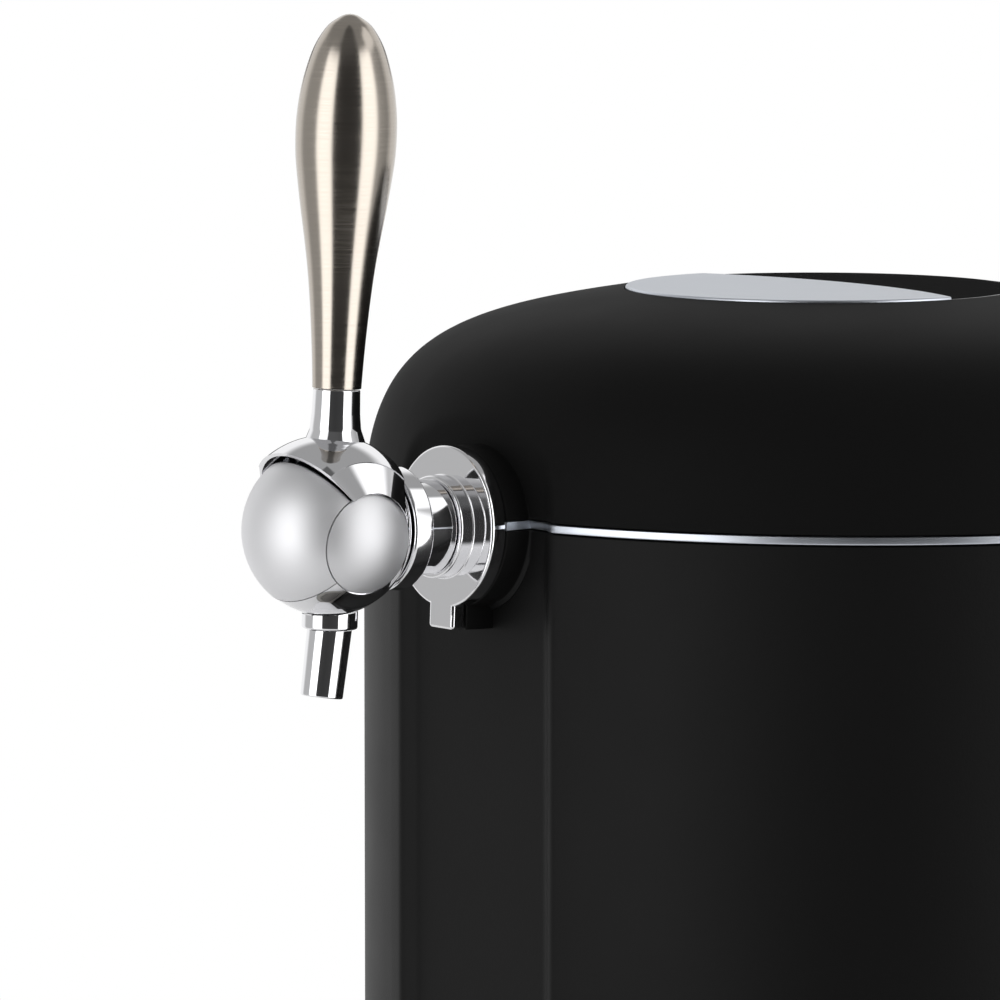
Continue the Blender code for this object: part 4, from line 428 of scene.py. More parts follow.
def baked(thing):
    """Replace a piece's mesh and modifiers by the plain result."""
    graph = bpy.context.evaluated_depsgraph_get()
    mesh = bpy.data.meshes.new_from_object(thing.evaluated_get(graph))
    if not mesh.polygons:
        raise RuntimeError(thing.name + " has nothing left")
    thing.modifiers.clear()
    thing.data = mesh
    return thing


def carve(thing, operation, *tools):
    """Cut, join or keep a piece with tools, which are used up."""
    for tool in tools:
        step = thing.modifiers.new(tool.name, "BOOLEAN")
        step.operation = operation
        step.object = tool
        step.solver = "EXACT"
    baked(thing)
    for tool in tools:
        bpy.data.objects.remove(tool)
    return thing


def eased(thing, width, segments=2, angle=CRISP_ANGLE):
    """Round a piece's sharp edges."""
    bevel = thing.modifiers.new("eased", "BEVEL")
    bevel.width = width
    bevel.segments = segments
    bevel.limit_method = "ANGLE"
    bevel.angle_limit = angle
    bevel.miter_outer = "MITER_ARC"
    return baked(thing)


def settle(thing, body, material, nodes=(), crisp=CRISP_ANGLE):
    """Give a piece its finish, shading and body, and hide the nodes it stands for."""
    work = bmesh.new()
    work.from_mesh(thing.data)
    bmesh.ops.remove_doubles(work, verts=work.verts, dist=MERGE)
    bmesh.ops.dissolve_degenerate(work, edges=work.edges, dist=MERGE)
    work.to_mesh(thing.data)
    work.free()
    thing.data.materials.clear()
    thing.data.materials.append(material)
    thing.data.shade_smooth()
    thing.data.set_sharp_from_angle(angle=crisp)
    flats = thing.modifiers.new("flats", "WEIGHTED_NORMAL")
    flats.keep_sharp = True
    baked(thing)
    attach(thing, body)
    if nodes:
        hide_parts(*nodes)
    return thing


def dressed(node, body, material, ease=0.0004):
    """A CAD node with its flats merged and its edges rounded, in its place."""
    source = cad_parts[node]
    work = bmesh.new()
    work.from_mesh(source.data)
    bmesh.ops.remove_doubles(work, verts=work.verts, dist=MERGE)
    flat = radians(1.0)
    bmesh.ops.dissolve_limit(work, angle_limit=flat, verts=work.verts, edges=work.edges)
    thing = new_object(node + "_dressed", work)
    if ease:
        eased(thing, ease)
    return settle(thing, body, material, [node])


# Geometry Nodes


def add(tree, kind, **settings):
    """Add a node; a setting is a link if it is a socket, else a value."""
    node = tree.nodes.new(kind)
    for name, value in settings.items():
        if hasattr(node, name) and name.islower():
            setattr(node, name, value)
            continue
        socket = node.inputs[int(name[1:]) if name[0] == "_" else name.replace("_", " ")]
        if isinstance(value, bpy.types.NodeSocket):
            tree.links.new(value, socket)
        else:
            socket.default_value = value
    return node


def copies_tree():
    """Copies of a piece along a line, each turned further than the last."""
    tree = bpy.data.node_groups.new("copies_in_a_row", "GeometryNodeTree")
    sockets = (
        ("Piece", "NodeSocketGeometry"), ("Count", "NodeSocketInt"),
        ("Start", "NodeSocketVector"), ("Step", "NodeSocketVector"),
        ("Turn", "NodeSocketVector"), ("Finish", "NodeSocketMaterial"),
    )
    for name, kind in sockets:
        tree.interface.new_socket(name, in_out="INPUT", socket_type=kind)
    tree.interface.new_socket("Copies", in_out="OUTPUT", socket_type="NodeSocketGeometry")
    given = add(tree, "NodeGroupInput").outputs
    line = add(
        tree, "GeometryNodeMeshLine", mode="OFFSET", Count=given["Count"],
        Start_Location=given["Start"], Offset=given["Step"],
    )
    index = add(tree, "GeometryNodeInputIndex").outputs[0]
    turn = add(tree, "ShaderNodeVectorMath", operation="SCALE", _0=given["Turn"], Scale=index)
    spread = add(
        tree, "GeometryNodeInstanceOnPoints", Points=line.outputs[0], Instance=given["Piece"],
        Rotation=turn.outputs[0],
    )
    real = add(tree, "GeometryNodeRealizeInstances", Geometry=spread.outputs[0])
    finish = add(
        tree, "GeometryNodeSetMaterial", Geometry=real.outputs[0], Material=given["Finish"]
    )
    add(tree, "NodeGroupOutput", Copies=finish.outputs[0])
    return tree


def grow(thing, tree, **values):
    """Run a piece through a tree and keep the plain mesh."""
    step = thing.modifiers.new(tree.name, "NODES")
    step.node_group = tree
    sockets = {item.name: item.identifier for item in tree.interface.items_tree}
    for name, value in values.items():
        step[sockets[name.replace("_", " ")]] = value
    return baked(thing)


def repeated(thing, number, step=(0, 0, 0), turn=(0, 0, 0), start=(0, 0, 0)):
    """Copies of a piece in one mesh."""
    tree = bpy.data.node_groups.get("copies_in_a_row") or copies_tree()
    values = [[float(part) for part in vector] for vector in (step, turn, start)]
    finish = thing.data.materials[0] if thing.data.materials else None
    return grow(
        thing, tree, Count=number, Step=values[0], Turn=values[1], Start=values[2], Finish=finish
    )


def slots_tree():
    """Slots across a plate whose front is round: each is as long as fits."""
    tree = bpy.data.node_groups.new("slots_in_a_round_front", "GeometryNodeTree")
    sockets = (
        ("Slot Width", "NodeSocketFloat"), ("Pitch", "NodeSocketFloat"),
        ("Count", "NodeSocketInt"), ("Rear", "NodeSocketFloat"), ("Centre", "NodeSocketFloat"),
        ("Reach", "NodeSocketFloat"), ("Middle", "NodeSocketFloat"),
        ("Depth", "NodeSocketFloat"), ("Finish", "NodeSocketMaterial"),
    )
    tree.interface.new_socket("Plate", in_out="INPUT", socket_type="NodeSocketGeometry")
    for name, kind in sockets:
        tree.interface.new_socket(name, in_out="INPUT", socket_type=kind)
    tree.interface.new_socket("Slots", in_out="OUTPUT", socket_type="NodeSocketGeometry")
    given = add(tree, "NodeGroupInput").outputs

    def sum_of(operation, first, second):
        return add(tree, "ShaderNodeMath", operation=operation, _0=first, _1=second).outputs[0]

    half_pitch = sum_of("MULTIPLY", given["Pitch"], -0.5)
    first = sum_of("ADD", given["Rear"], half_pitch)
    start = add(tree, "ShaderNodeCombineXYZ", Y=first, Z=given["Middle"])
    step = add(tree, "ShaderNodeCombineXYZ", Y=sum_of("MULTIPLY", given["Pitch"], -1.0))
    line = add(
        tree, "GeometryNodeMeshLine", mode="OFFSET", Count=given["Count"],
        Start_Location=start.outputs[0], Offset=step.outputs[0],
    )
    place = add(tree, "GeometryNodeInputPosition").outputs[0]
    along = add(tree, "ShaderNodeSeparateXYZ", Vector=place).outputs["Y"]
    half_width = sum_of("MULTIPLY", given["Slot Width"], 0.5)
    edge = sum_of("SUBTRACT", sum_of("SUBTRACT", along, half_width), given["Centre"])
    ahead = sum_of("MINIMUM", edge, 0.0)
    reach_square = sum_of("MULTIPLY", given["Reach"], given["Reach"])
    half_square = sum_of("SUBTRACT", reach_square, sum_of("MULTIPLY", ahead, ahead))
    half_span = add(tree, "ShaderNodeMath", operation="SQRT", _0=half_square).outputs[0]
    span = sum_of("MULTIPLY", half_span, 2.0)
    scale = add(tree, "ShaderNodeCombineXYZ", X=span, Y=given["Slot Width"], Z=given["Depth"])
    cube = add(tree, "GeometryNodeMeshCube", Size=(1.0, 1.0, 1.0))
    spread = add(
        tree, "GeometryNodeInstanceOnPoints", Points=line.outputs[0], Instance=cube.outputs[0],
        Scale=scale.outputs[0],
    )
    real = add(tree, "GeometryNodeRealizeInstances", Geometry=spread.outputs[0])
    finish = add(
        tree, "GeometryNodeSetMaterial", Geometry=real.outputs[0], Material=given["Finish"]
    )
    add(tree, "NodeGroupOutput", Slots=finish.outputs[0])
    return tree


# Materials


METAL = {"Metallic": 1.0}

# Patterns: a size in metres, the share by which each axis is drawn out, and detail.
# Brushed lines are drawn three to five times as coarse as real ones, so that they show
PEEL, SPARK, MOULD_GRAIN, FINE_MOULD_GRAIN = (0.0007,), (0.0006,), (0.0009,), (0.0008,)
COAT_CLOUD, MOULD_CLOUD, ZINC_CLOUD = (0.030,), (0.025,), (0.002,)
SHEET_WAVE, CAST_WAVE, HOSE_WAVE, BUFFING = (0.020,), (0.012,), (0.003,), (0.006,)
FINE_BLAST, BLAST, SATIN_CLOUD, BLAST_CLOUD = (0.0004,), (0.0005,), (0.010,), (0.015,)
ROUND_HAIR = (0.00025, (0.02, 0.02, 1.0), 3.0)
LONG_HAIR = (0.0003, (0.02, 1.0, 1.0), 3.0)
DRAWN_LINES = (0.0005, (1.0, 1.0, 0.02), 3.0)
BLOOM = (0.004, (1.0, 1.0, 1.0), 4.0)
BEADS = (0.003, "ShaderNodeTexVoronoi", "Distance")
TRACKS = (0.004, "ShaderNodeTexBrick", "Fac")

# Each finish: its name, its relief as pattern, depth and strength, its roughness
# as a value or as pattern, lowest and highest, its tones as pattern and two shades
# of its colour, and what else goes on the shader. Its key is that of its colour
FINISHES = {
    # Baked powder coat: a fine orange peel that spreads every highlight
    "coat": (
        "powder_coated_steel", (PEEL, 0.00006, 0.55), (COAT_CLOUD, 0.49, 0.52), None,
        {"Specular IOR Level": 0.12},
    ),
    # Spark-eroded ABS: an even, slightly duller matte than the coat
    "lid": (
        "moulded_black_abs", (SPARK, 0.00005, 0.5), (COAT_CLOUD, 0.62, 0.65), None,
        {"Specular IOR Level": 0.07},
    ),
    # Polypropylene from a grained mould: matte, with faint flow marks
    "plastic": (
        "moulded_black_polypropylene", (MOULD_GRAIN, 0.00005, 0.5), (MOULD_CLOUD, 0.48, 0.60),
        None, {},
    ),
    # Cast acrylic over black print: a deep, clear reflection
    "acrylic": ("gloss_black_acrylic", (SHEET_WAVE, 0.00005, 0.05), 0.03, None, {}),
    # Buffed chrome plate: a mirror with the slight ripple of its casting
    "chrome": (
        "polished_chrome_plate", (CAST_WAVE, 0.0001, 0.03), (BUFFING, 0.03, 0.07), None, METAL,
    ),
    # Chrome over a fine blasted base: the mirror goes soft
    "satin": (
        "satin_chrome_plate", (FINE_BLAST, 0.00001, 0.3), (SATIN_CLOUD, 0.52, 0.57), None, METAL,
    ),
    # Stainless steel brushed round its axis: hair lines that stretch light
    "steel": (
        "brushed_stainless_steel", (ROUND_HAIR, 0.00003, 0.3), (ROUND_HAIR, 0.14, 0.23),
        (ROUND_HAIR, 0.82, 1.10), METAL,
    ),
    # The grid's sheet steel, brushed along its slots
    "sheet": (
        "brushed_sheet_steel", (LONG_HAIR, 0.00002, 0.25), (LONG_HAIR, 0.24, 0.36), None, METAL,
    ),
    # Bead-blasted, anodised plate: pale, even and slightly blue
    "anodised": (
        "anodised_aluminium", (BLAST, 0.00001, 0.4), (BLAST_CLOUD, 0.33, 0.35), None, METAL,
    ),
    # Bare aluminium drawn or extruded upright: long faint lines
    "aluminium": (
        "drawn_aluminium", (DRAWN_LINES, 0.00004, 0.5), (DRAWN_LINES, 0.30, 0.46), None, METAL,
    ),
    # Bright zinc plate: a cool metal with cloudy patches
    "zinc": (
        "zinc_plated_steel", None, (ZINC_CLOUD, 0.24, 0.40), (ZINC_CLOUD, 0.85, 1.0), METAL,
    ),
    # Grey ABS of the inner mouldings: satin, with a fine grain
    "grey": (
        "moulded_grey_abs", (FINE_MOULD_GRAIN, 0.00004, 0.4), (COAT_CLOUD, 0.38, 0.48), None, {},
    ),
    # Moulded polystyrene: beads of 3 mm pressed flat against each other
    "foam": ("moulded_bead_foam", (BEADS, -0.0003, 0.8), 0.85, (BEADS, 1.0, 0.86), {}),
    # Nitrile rubber: dull, with a dusty bloom in places
    "rubber": ("moulded_rubber", (BLAST, 0.00005, 0.6), 0.8, (BLOOM, 1.0, 1.8), {}),
    # Glass-fibre board: green solder mask over faint tracks 1 mm wide
    "board": ("circuit_board", (TRACKS, 0.00005, 0.6), 0.35, (TRACKS, 1.0, 1.7), {}),
    # Ground alumina plates: white and chalky
    "ceramic": ("ground_alumina", (SPARK, 0.00003, 0.5), 0.6, None, {}),
    # Soft PVC hose: milky, with a wet-looking skin
    "hose": (
        "clear_pvc_hose", (HOSE_WAVE, 0.0001, 0.1), 0.18, None,
        {"Transmission Weight": 0.55, "IOR": 1.53},
    ),
}


def finish_of(key):
    """A finish by its key, made at its first use."""
    name, relief, rough, tones, settings = FINISHES[key]
    if name in bpy.data.materials:
        return bpy.data.materials[name]
    base = getattr(sizes("colours"), key)
    material = bpy.data.materials.new(name)
    material.use_nodes = True
    tree = material.node_tree
    shader = tree.nodes["Principled BSDF"]
    place = add(tree, "ShaderNodeTexCoord").outputs["Object"]

    made = {}

    def drawn(pattern):
        """The output of a pattern's nodes, made once."""
        if pattern in made:
            return made[pattern]
        size, *rest = pattern
        if rest and isinstance(rest[0], str):
            kind, result = rest
            made[pattern] = add(tree, kind, Vector=place, Scale=1 / size).outputs[result]
            return made[pattern]
        stretch, detail = rest or ((1.0, 1.0, 1.0), 2.0)
        scale = tuple(share / size for share in stretch)
        mapped = add(tree, "ShaderNodeMapping", Vector=place, Scale=scale).outputs[0]
        noise = add(tree, "ShaderNodeTexNoise", Vector=mapped, Scale=1.0, Detail=detail)
        made[pattern] = noise.outputs["Fac"]
        return made[pattern]

    values = {"Base Color": (*base, 1.0), "Roughness": rough, **settings}
    if isinstance(rough, tuple):
        pattern, low, high = rough
        values["Roughness"] = (low + high) / 2
        between = add(
            tree, "ShaderNodeMapRange", Value=drawn(pattern), From_Min=0.3, From_Max=0.7,
            To_Min=low, To_Max=high,
        )
        tree.links.new(between.outputs[0], shader.inputs["Roughness"])
    if relief:
        pattern, depth, strength = relief
        bump = add(
            tree, "ShaderNodeBump", Height=drawn(pattern), Distance=depth, Strength=strength
        )
        tree.links.new(bump.outputs[0], shader.inputs["Normal"])
    if tones:
        pattern, *shares = tones
        mix = add(tree, "ShaderNodeMix", data_type="RGBA", _0=drawn(pattern))
        ends = [socket for socket in mix.inputs if socket.type == "RGBA"]
        for end, share in zip(ends, shares):
            end.default_value = (*(min(part * share, 1.0) for part in base), 1.0)
        result = [socket for socket in mix.outputs if socket.type == "RGBA"][0]
        tree.links.new(result, shader.inputs["Base Color"])
    for socket, value in values.items():
        shader.inputs[socket].default_value = value
    return material


# Body and lid


def pressed(x, y, z, inset=0.0):
    """The Y of a front point, pressed back to the flat panel with soft borders."""
    body = sizes("body")
    flat = inset - body.panel_depth
    if y > 0.0:
        return y
    corner = body.panel_corner
    across = abs(x) - (body.panel_half_width - corner)
    up = z - (body.panel_top - corner)
    outside = hypot(max(across, 0.0), max(up, 0.0)) + min(max(across, up), 0.0) - corner
    share = min(max(0.5 - outside / (2 * body.panel_blend), 0.0), 1.0)
    share = share * share * (3 - 2 * share)
    past = flat - y
    softness = body.panel_blend / 6
    return y + share * (past + sqrt(past * past + softness * softness)) / 2


def turns_round():
    """Angles from the front round the body, close together at the panel."""
    near = [step * 1.5 for step in range(6)]
    edge = [9.0 + step * 0.5 for step in range(17)]
    far = [17.5 + step * 2.5 for step in range(66)]
    side = near + edge + far
    return [radians(a) for a in side] + [-radians(a) for a in reversed(side[1:-1])]


def skin(name, rows, closed=True):
    """A closed shell of rows: radius, height, forward shift and inset."""
    work = bmesh.new()
    rings = []
    for radius, height, shift, inset in rows:
        if radius < MERGE:
            rings.append([work.verts.new((0.0, -shift, height))])
            continue
        ring = []
        for turn in turns_round():
            x, y = radius * sin(turn), -radius * cos(turn) - shift
            ring.append(work.verts.new((x, pressed(x, y, height, inset), height)))
        rings.append(ring)
    bridge(work, rings, closed)
    return new_object(name, work)


def tap_place():
    """From the tap's own axes, with Z up and the ball's middle at zero."""
    tap = sizes("tap")
    return Matrix.Translation((0.0, -tap.reach, tap.height)) @ Matrix.Rotation(-tap.slope, 4, "X")


def axis_place():
    """From an axis that runs out along the tap, measured from the body."""
    tap = sizes("tap")
    outwards = Matrix.Rotation(pi / 2, 4, "X") @ Matrix.Translation((0.0, 0.0, -tap.reach))
    return tap_place() @ outwards


def boss(name, low, high):
    """The boss behind the flange between two heights, with a soft root."""
    body = sizes("body")
    root = body.panel_depth - body.wall
    outline = rounded([
        (0.0, body.boss_depth), (body.boss_radius, body.boss_depth, 0.0006),
        (body.boss_radius, body.panel_depth + 0.0003, 0.0006),
        (body.boss_radius + 0.0012, body.panel_depth - 0.0003), (body.boss_radius + 0.0012, root),
        (0.0, root),
    ])
    form = lathe(name, outline, ROUND_STEPS, place=axis_place())
    wide = body.boss_radius + OVERRUN
    band = box(name + "_band", (-wide, -body.radius - 2 * OVERRUN, low), (wide, 0.0, high))
    return carve(form, "INTERSECT", band)


def shank_bore(name):
    """Cutter for the shank's hole."""
    body = sizes("body")
    start, end = (0, 0, body.panel_depth - 2 * OVERRUN), (0, 0, body.boss_depth + OVERRUN)
    return rod(name, body.bore_radius, start, end, ROUND_STEPS, axis_place())


def build_casing():
    """Round casing with the flat panel and the lower half of the boss."""
    body = sizes("body")
    inner = body.radius - body.wall
    low, high, ease = body.bottom, body.casing_top, 0.0007
    heights = [low + ease + (high - low - 2 * ease) * step / 14 for step in range(15)]
    rows = [
        (body.radius - ease, low, 0.0, ease),
        (body.radius - ease * 0.3, low + ease * 0.3, 0.0, 0.0),
    ]
    rows += [(body.radius, height, 0.0, 0.0) for height in heights]
    rows += [
        (body.radius - ease * 0.3, high - ease * 0.3, 0.0, ease * 0.3),
        (body.radius - ease, high, 0.0, ease), (inner, high, 0.0, body.wall),
        (inner, low, 0.0, body.wall),
    ]
    casing = skin("casing", rows)
    key_back = body.panel_depth - body.wall
    key = box(
        "key", (-body.key_width / 2, -body.key_drop, key_back),
        (body.key_width / 2, body.wall - body.boss_radius, body.boss_depth), axis_place(),
    )
    carve(casing, "UNION", boss("boss_low", low, high), eased(key, 0.0005))
    # Window in the back for the cooling unit
    half, sill, head = 0.052, 0.113, 0.217
    window = box("window", (-half, 0.0, sill), (half, body.radius + OVERRUN, head))
    carve(casing, "DIFFERENCE", shank_bore("casing_bore"), window)
    settle(casing, "body", finish_of("coat"), ["outer_casing"])


def build_trim():
    """Bright strip between casing and lid, with its edges eased."""
    body = sizes("body")
    low, high, ease = body.trim_bottom, body.trim_top, 0.0005
    inner = body.radius - body.trim_width
    rows = [
        (inner, low, 0.0, body.wall), (body.radius - ease, low, 0.0, ease),
        (body.radius - ease * 0.3, low + ease * 0.3, 0.0, ease * 0.3),
        (body.radius, low + ease, 0.0, 0.0),
        (body.radius, high - ease, 0.0, 0.0),
        (body.radius - ease * 0.3, high - ease * 0.3, 0.0, ease * 0.3),
        (body.radius - ease, high, 0.0, ease), (inner, high, 0.0, body.wall),
    ]
    strip = skin("trim_strip", rows)
    nose_root = 0.001 - body.panel_depth
    nose = box(
        "nose", (-body.boss_radius, -body.boss_depth, low), (body.boss_radius, nose_root, high)
    )
    passage = box(
        "passage", (-body.bore_radius, -body.boss_depth - OVERRUN, low - OVERRUN),
        (body.bore_radius, -body.panel_depth + 2 * OVERRUN, high + OVERRUN),
    )
    carve(strip, "UNION", nose)
    carve(strip, "DIFFERENCE", passage)
    settle(strip, "body", finish_of("anodised"), ["trim_ring"])


def dome_curve(inset, top, steps):
    """The lid's side and top from its spring line up, as radius and height."""
    body, lid = sizes("body"), sizes("lid")
    start = Vector((body.radius - inset, lid.spring))
    end = Vector((lid.top_radius, top))
    side = start + Vector((0.0, lid.side_pull - inset))
    over = end + Vector((lid.top_pull - inset, -lid.top_drop))
    points = []
    for step in range(steps + 1):
        t = step / steps
        u = 1 - t
        points.append(start * u ** 3 + side * 3 * u * u * t + over * 3 * u * t * t + end * t ** 3)
    return points


def dome_rows(inset, top, steps, bottom):
    """Rows of the lid's outer or inner side, from a bottom height up."""
    body, lid = sizes("body"), sizes("lid")
    rows = []
    for radius, height in dome_curve(inset, top, steps):
        if height > bottom:
            shift = lid.lean_share * (body.radius - inset - radius)
            rows.append((radius, height, shift, inset))
    return rows


def build_lid():
    """Domed cover with the upper half of the boss and the recess in its top."""
    body, lid = sizes("body"), sizes("lid")
    ease = 0.0006
    outer = dome_rows(0.0, lid.top, 80, lid.bottom + ease)
    inner = dome_rows(body.wall, lid.top - lid.recess - body.wall, 24, lid.bottom + ease)
    first, rim = outer[0], outer[-1]
    shift = rim[2]
    floor = lid.top - lid.recess
    rows = [
        (first[0] - ease, lid.bottom, first[2], ease),
        (first[0] - ease * 0.3, lid.bottom + ease * 0.3, first[2], ease * 0.3),
    ]
    rows += outer[:-1]
    rows += [
        (rim[0] + ease * 0.5, lid.top, shift, 0.0), (rim[0], lid.top - ease * 0.4, shift, 0.0),
        (rim[0], floor, shift, 0.0), (0.0, floor, shift, 0.0), (0.0, floor - body.wall, shift, 0.0),
    ]
    rows += inner[::-1] + [(inner[0][0], lid.bottom, inner[0][2], body.wall)]
    cover = skin("lid_cover", rows)
    carve(cover, "UNION", boss("boss_high", lid.bottom, lid.top))
    carve(cover, "DIFFERENCE", shank_bore("lid_bore"))
    settle(cover, "lid", finish_of("lid"), ["lid_shell"])


def top_disc(name, top, inset, ease):
    """A disc that fills the lid's recess, with a rounded rim."""
    body, lid = sizes("body"), sizes("lid")
    shift = lid.lean_share * (body.radius - lid.top_radius)
    floor = lid.top - lid.recess + SEAM
    outline = rounded([
        (0.0, top), (lid.top_radius - inset, top, ease), (lid.top_radius - inset, floor),
        (0.0, floor),
    ], steps=6)
    return lathe(name, outline, 2 * FINE_STEPS, place=Matrix.Translation((0.0, -shift, 0.0)))


def build_top_plates():
    """Silver plate and gloss panel in the lid's top."""
    lid = sizes("lid")
    centre = lid.edge_setback - lid.edge_radius
    floor = lid.top - lid.recess
    low, high = (0, centre, floor - OVERRUN), (0, centre, lid.top + OVERRUN)
    steps = 3 * FINE_STEPS
    plate = top_disc("silver_plate", lid.top + lid.proud, SEAM, 0.0007)
    ahead = rod("ahead", lid.edge_radius, low, high, steps)
    carve(plate, "INTERSECT", ahead)
    settle(plate, "lid", finish_of("anodised"), ["silver_top_plate"], crisp=SOFT_ANGLE)
    panel = top_disc("gloss_panel", lid.top, SEAM, 0.0005)
    behind = rod("behind", lid.edge_radius + SEAM, low, high, steps)
    carve(panel, "DIFFERENCE", behind)
    settle(panel, "lid", finish_of("acrylic"), ["control_panel"], crisp=SOFT_ANGLE)


# Tap and lever


NUT_FLATS = 12


def build_tap_mount():
    """Flange with its tab, barrel with its ring, and the nut inside."""
    tap, body = sizes("tap"), sizes("body")
    axis = axis_place()
    flange = lathe("flange", rounded([
        (body.bore_radius, tap.flange_back), (body.bore_radius, tap.step_front),
        (tap.step_radius, tap.step_front, 0.0008), (tap.step_radius, tap.flange_front, 0.0006),
        (tap.flange_radius, tap.flange_front, 0.0009), (tap.flange_radius, tap.flange_back, 0.0003),
    ], closed=True), FINE_STEPS, closed=True, place=axis)
    tab = box(
        "tab", (-body.key_width / 2, -body.key_drop, tap.flange_back),
        (body.key_width / 2, body.wall - tap.flange_radius, tap.flange_front), axis,
    )
    carve(flange, "UNION", eased(tab, 0.0011, 3))
    settle(flange, "body", finish_of("chrome"), ["tap_flange"])

    barrel = lathe("barrel", rounded([
        (0.0, tap.ring_front), (tap.ring_radius, tap.ring_front, 0.0008),
        (tap.ring_radius, tap.ring_back, 0.0008), (tap.barrel_radius, tap.ring_back, 0.0006),
        (tap.barrel_radius, tap.step_front + SEAM, 0.0006),
        (tap.shank_radius, tap.step_front + SEAM),
        (tap.shank_radius, tap.shank_end, 0.0006), (tap.bore_radius, tap.shank_end),
        (tap.bore_radius, tap.shank_end + OVERRUN), (0.0, tap.shank_end + OVERRUN),
    ]), FINE_STEPS, place=axis)
    settle(barrel, "body", finish_of("chrome"), ["tap_barrel"])

    front = body.panel_depth - body.wall - SEAM - tap.nut_radius * tan(tap.slope)
    nut = lathe("nut", rounded([
        (body.bore_radius, front - tap.nut_thickness), (body.bore_radius, front),
        (tap.nut_radius, front, 0.0006), (tap.nut_radius, front - tap.nut_thickness, 0.0006),
    ], closed=True), NUT_FLATS, closed=True, place=axis)
    settle(nut, "body", finish_of("zinc"), ["shank_nut"])


def wedge(name, half_angle, reach, place):
    """A wedge round the pivot, open to the front."""
    outline = [(0.0, 0.0)] + arc(reach, -degrees(half_angle), degrees(half_angle), 32)
    turn = Matrix(((0, 0, 1, 0), (-1, 0, 0, 0), (0, 1, 0, 0), (0, 0, 0, 1)))
    form = prism(name, outline, -reach, reach, place @ turn)
    work = bmesh.new()
    work.from_mesh(form.data)
    bmesh.ops.recalc_face_normals(work, faces=work.faces)
    work.to_mesh(form.data)
    work.free()
    return form


def build_tap_head():
    """Ball with its front and side caps, in the tap's own axes."""
    tap = sizes("tap")
    place = tap_place()
    past = tap.ball_radius + OVERRUN
    sink = -tap.pivot_cap_drop
    inner = tap.ball_radius - tap.cap_shell
    head = ball("ball_body", tap.ball_radius, place)
    rear = box("rear", (-past, tap.reach - tap.ring_front - SEAM, -past), (past, past, past), place)
    room = wedge("cap_room", tap.cap_angle + SEAM / tap.ball_radius, past, place)
    carve(room, "DIFFERENCE", ball("room_back", inner - SEAM, place))
    # Slot in which the lever's rod swings, and the bore of the valve
    slot_half, slot_rear, slot_floor = 0.0033, 0.0052, -0.0012
    slot = box("slot", (-slot_half, -past, slot_floor), (slot_half, slot_rear, past), place)
    bore_radius, bore_top = 0.0036, -0.004
    bore = rod("bore", bore_radius, (0, 0, -past), (0, 0, bore_top), SMALL_STEPS, place)
    carve(head, "DIFFERENCE", rear, room, slot, bore)
    for side in (-1, 1):
        seat = rod(
            "seat", tap.pivot_cap_radius + SEAM, (side * (tap.pivot_cap_root - SEAM), 0, sink),
            (side * past, 0, sink), ROUND_STEPS, place,
        )
        carve(head, "DIFFERENCE", seat)
    settle(head, "body", finish_of("chrome"), ["tap_ball"])

    front = ball("front_cap_cover", tap.ball_radius, place)
    carve(front, "INTERSECT", wedge("sector", tap.cap_angle, past, place))
    sides = rod(
        "sides", tap.pivot_cap_radius + SEAM, (-past, 0, sink), (past, 0, sink), ROUND_STEPS, place
    )
    carve(front, "DIFFERENCE", ball("inside", inner, place), sides)
    settle(front, "body", finish_of("satin"), ["front_cap"])

    for side, node in ((-1, "pivot_cap_left"), (1, "pivot_cap_right")):
        cap = ball(node + "_cover", tap.ball_radius, place)
        zone = rod(
            "zone", tap.pivot_cap_radius, (side * tap.pivot_cap_root, 0, sink),
            (side * past, 0, sink), ROUND_STEPS, place,
        )
        carve(cap, "INTERSECT", zone)
        settle(cap, "body", finish_of("satin"), [node])


def build_nozzle():
    """Collar and leaning nozzle under the ball."""
    tap = sizes("tap")
    place = tap_place()
    set_back = Matrix.Translation((0.0, tap.nozzle_setback, 0.0))
    collar = lathe("collar", rounded([
        (0.0, -tap.collar_top), (tap.collar_radius, -tap.collar_top),
        (tap.collar_radius, -tap.collar_bottom, 0.0007), (0.0, -tap.collar_bottom),
    ]), ROUND_STEPS, place=place @ set_back)
    throat_y, throat_low = tap.nozzle_setback / 2, -0.04
    throat = rod(
        "throat", tap.nozzle_bore, (0, throat_y, throat_low), (0, throat_y, 0), SMALL_STEPS, place
    )
    carve(collar, "DIFFERENCE", ball("collar_seat", tap.ball_radius + SEAM, place), throat)
    settle(collar, "body", finish_of("chrome"), ["nozzle_collar"])

    top = -tap.collar_bottom - SEAM
    lean = Matrix.Translation((0.0, tap.nozzle_setback, top))
    lean = lean @ Matrix.Rotation(-tap.nozzle_lean, 4, "X")
    spout = lathe("spout", rounded([
        (tap.nozzle_bore, OVERRUN), (tap.nozzle_top_radius, OVERRUN),
        (tap.nozzle_top_radius, 0.0), (tap.nozzle_tip_radius, -tap.nozzle_length, 0.0005),
        (tap.nozzle_bore, -tap.nozzle_length, 0.0005),
    ], closed=True), ROUND_STEPS, closed=True, place=place @ lean)
    wide = tap.collar_radius + OVERRUN
    carve(spout, "DIFFERENCE", box("above", (-wide, -wide, top), (wide, wide, 2 * OVERRUN), place))
    settle(spout, "body", finish_of("chrome"), ["nozzle"])


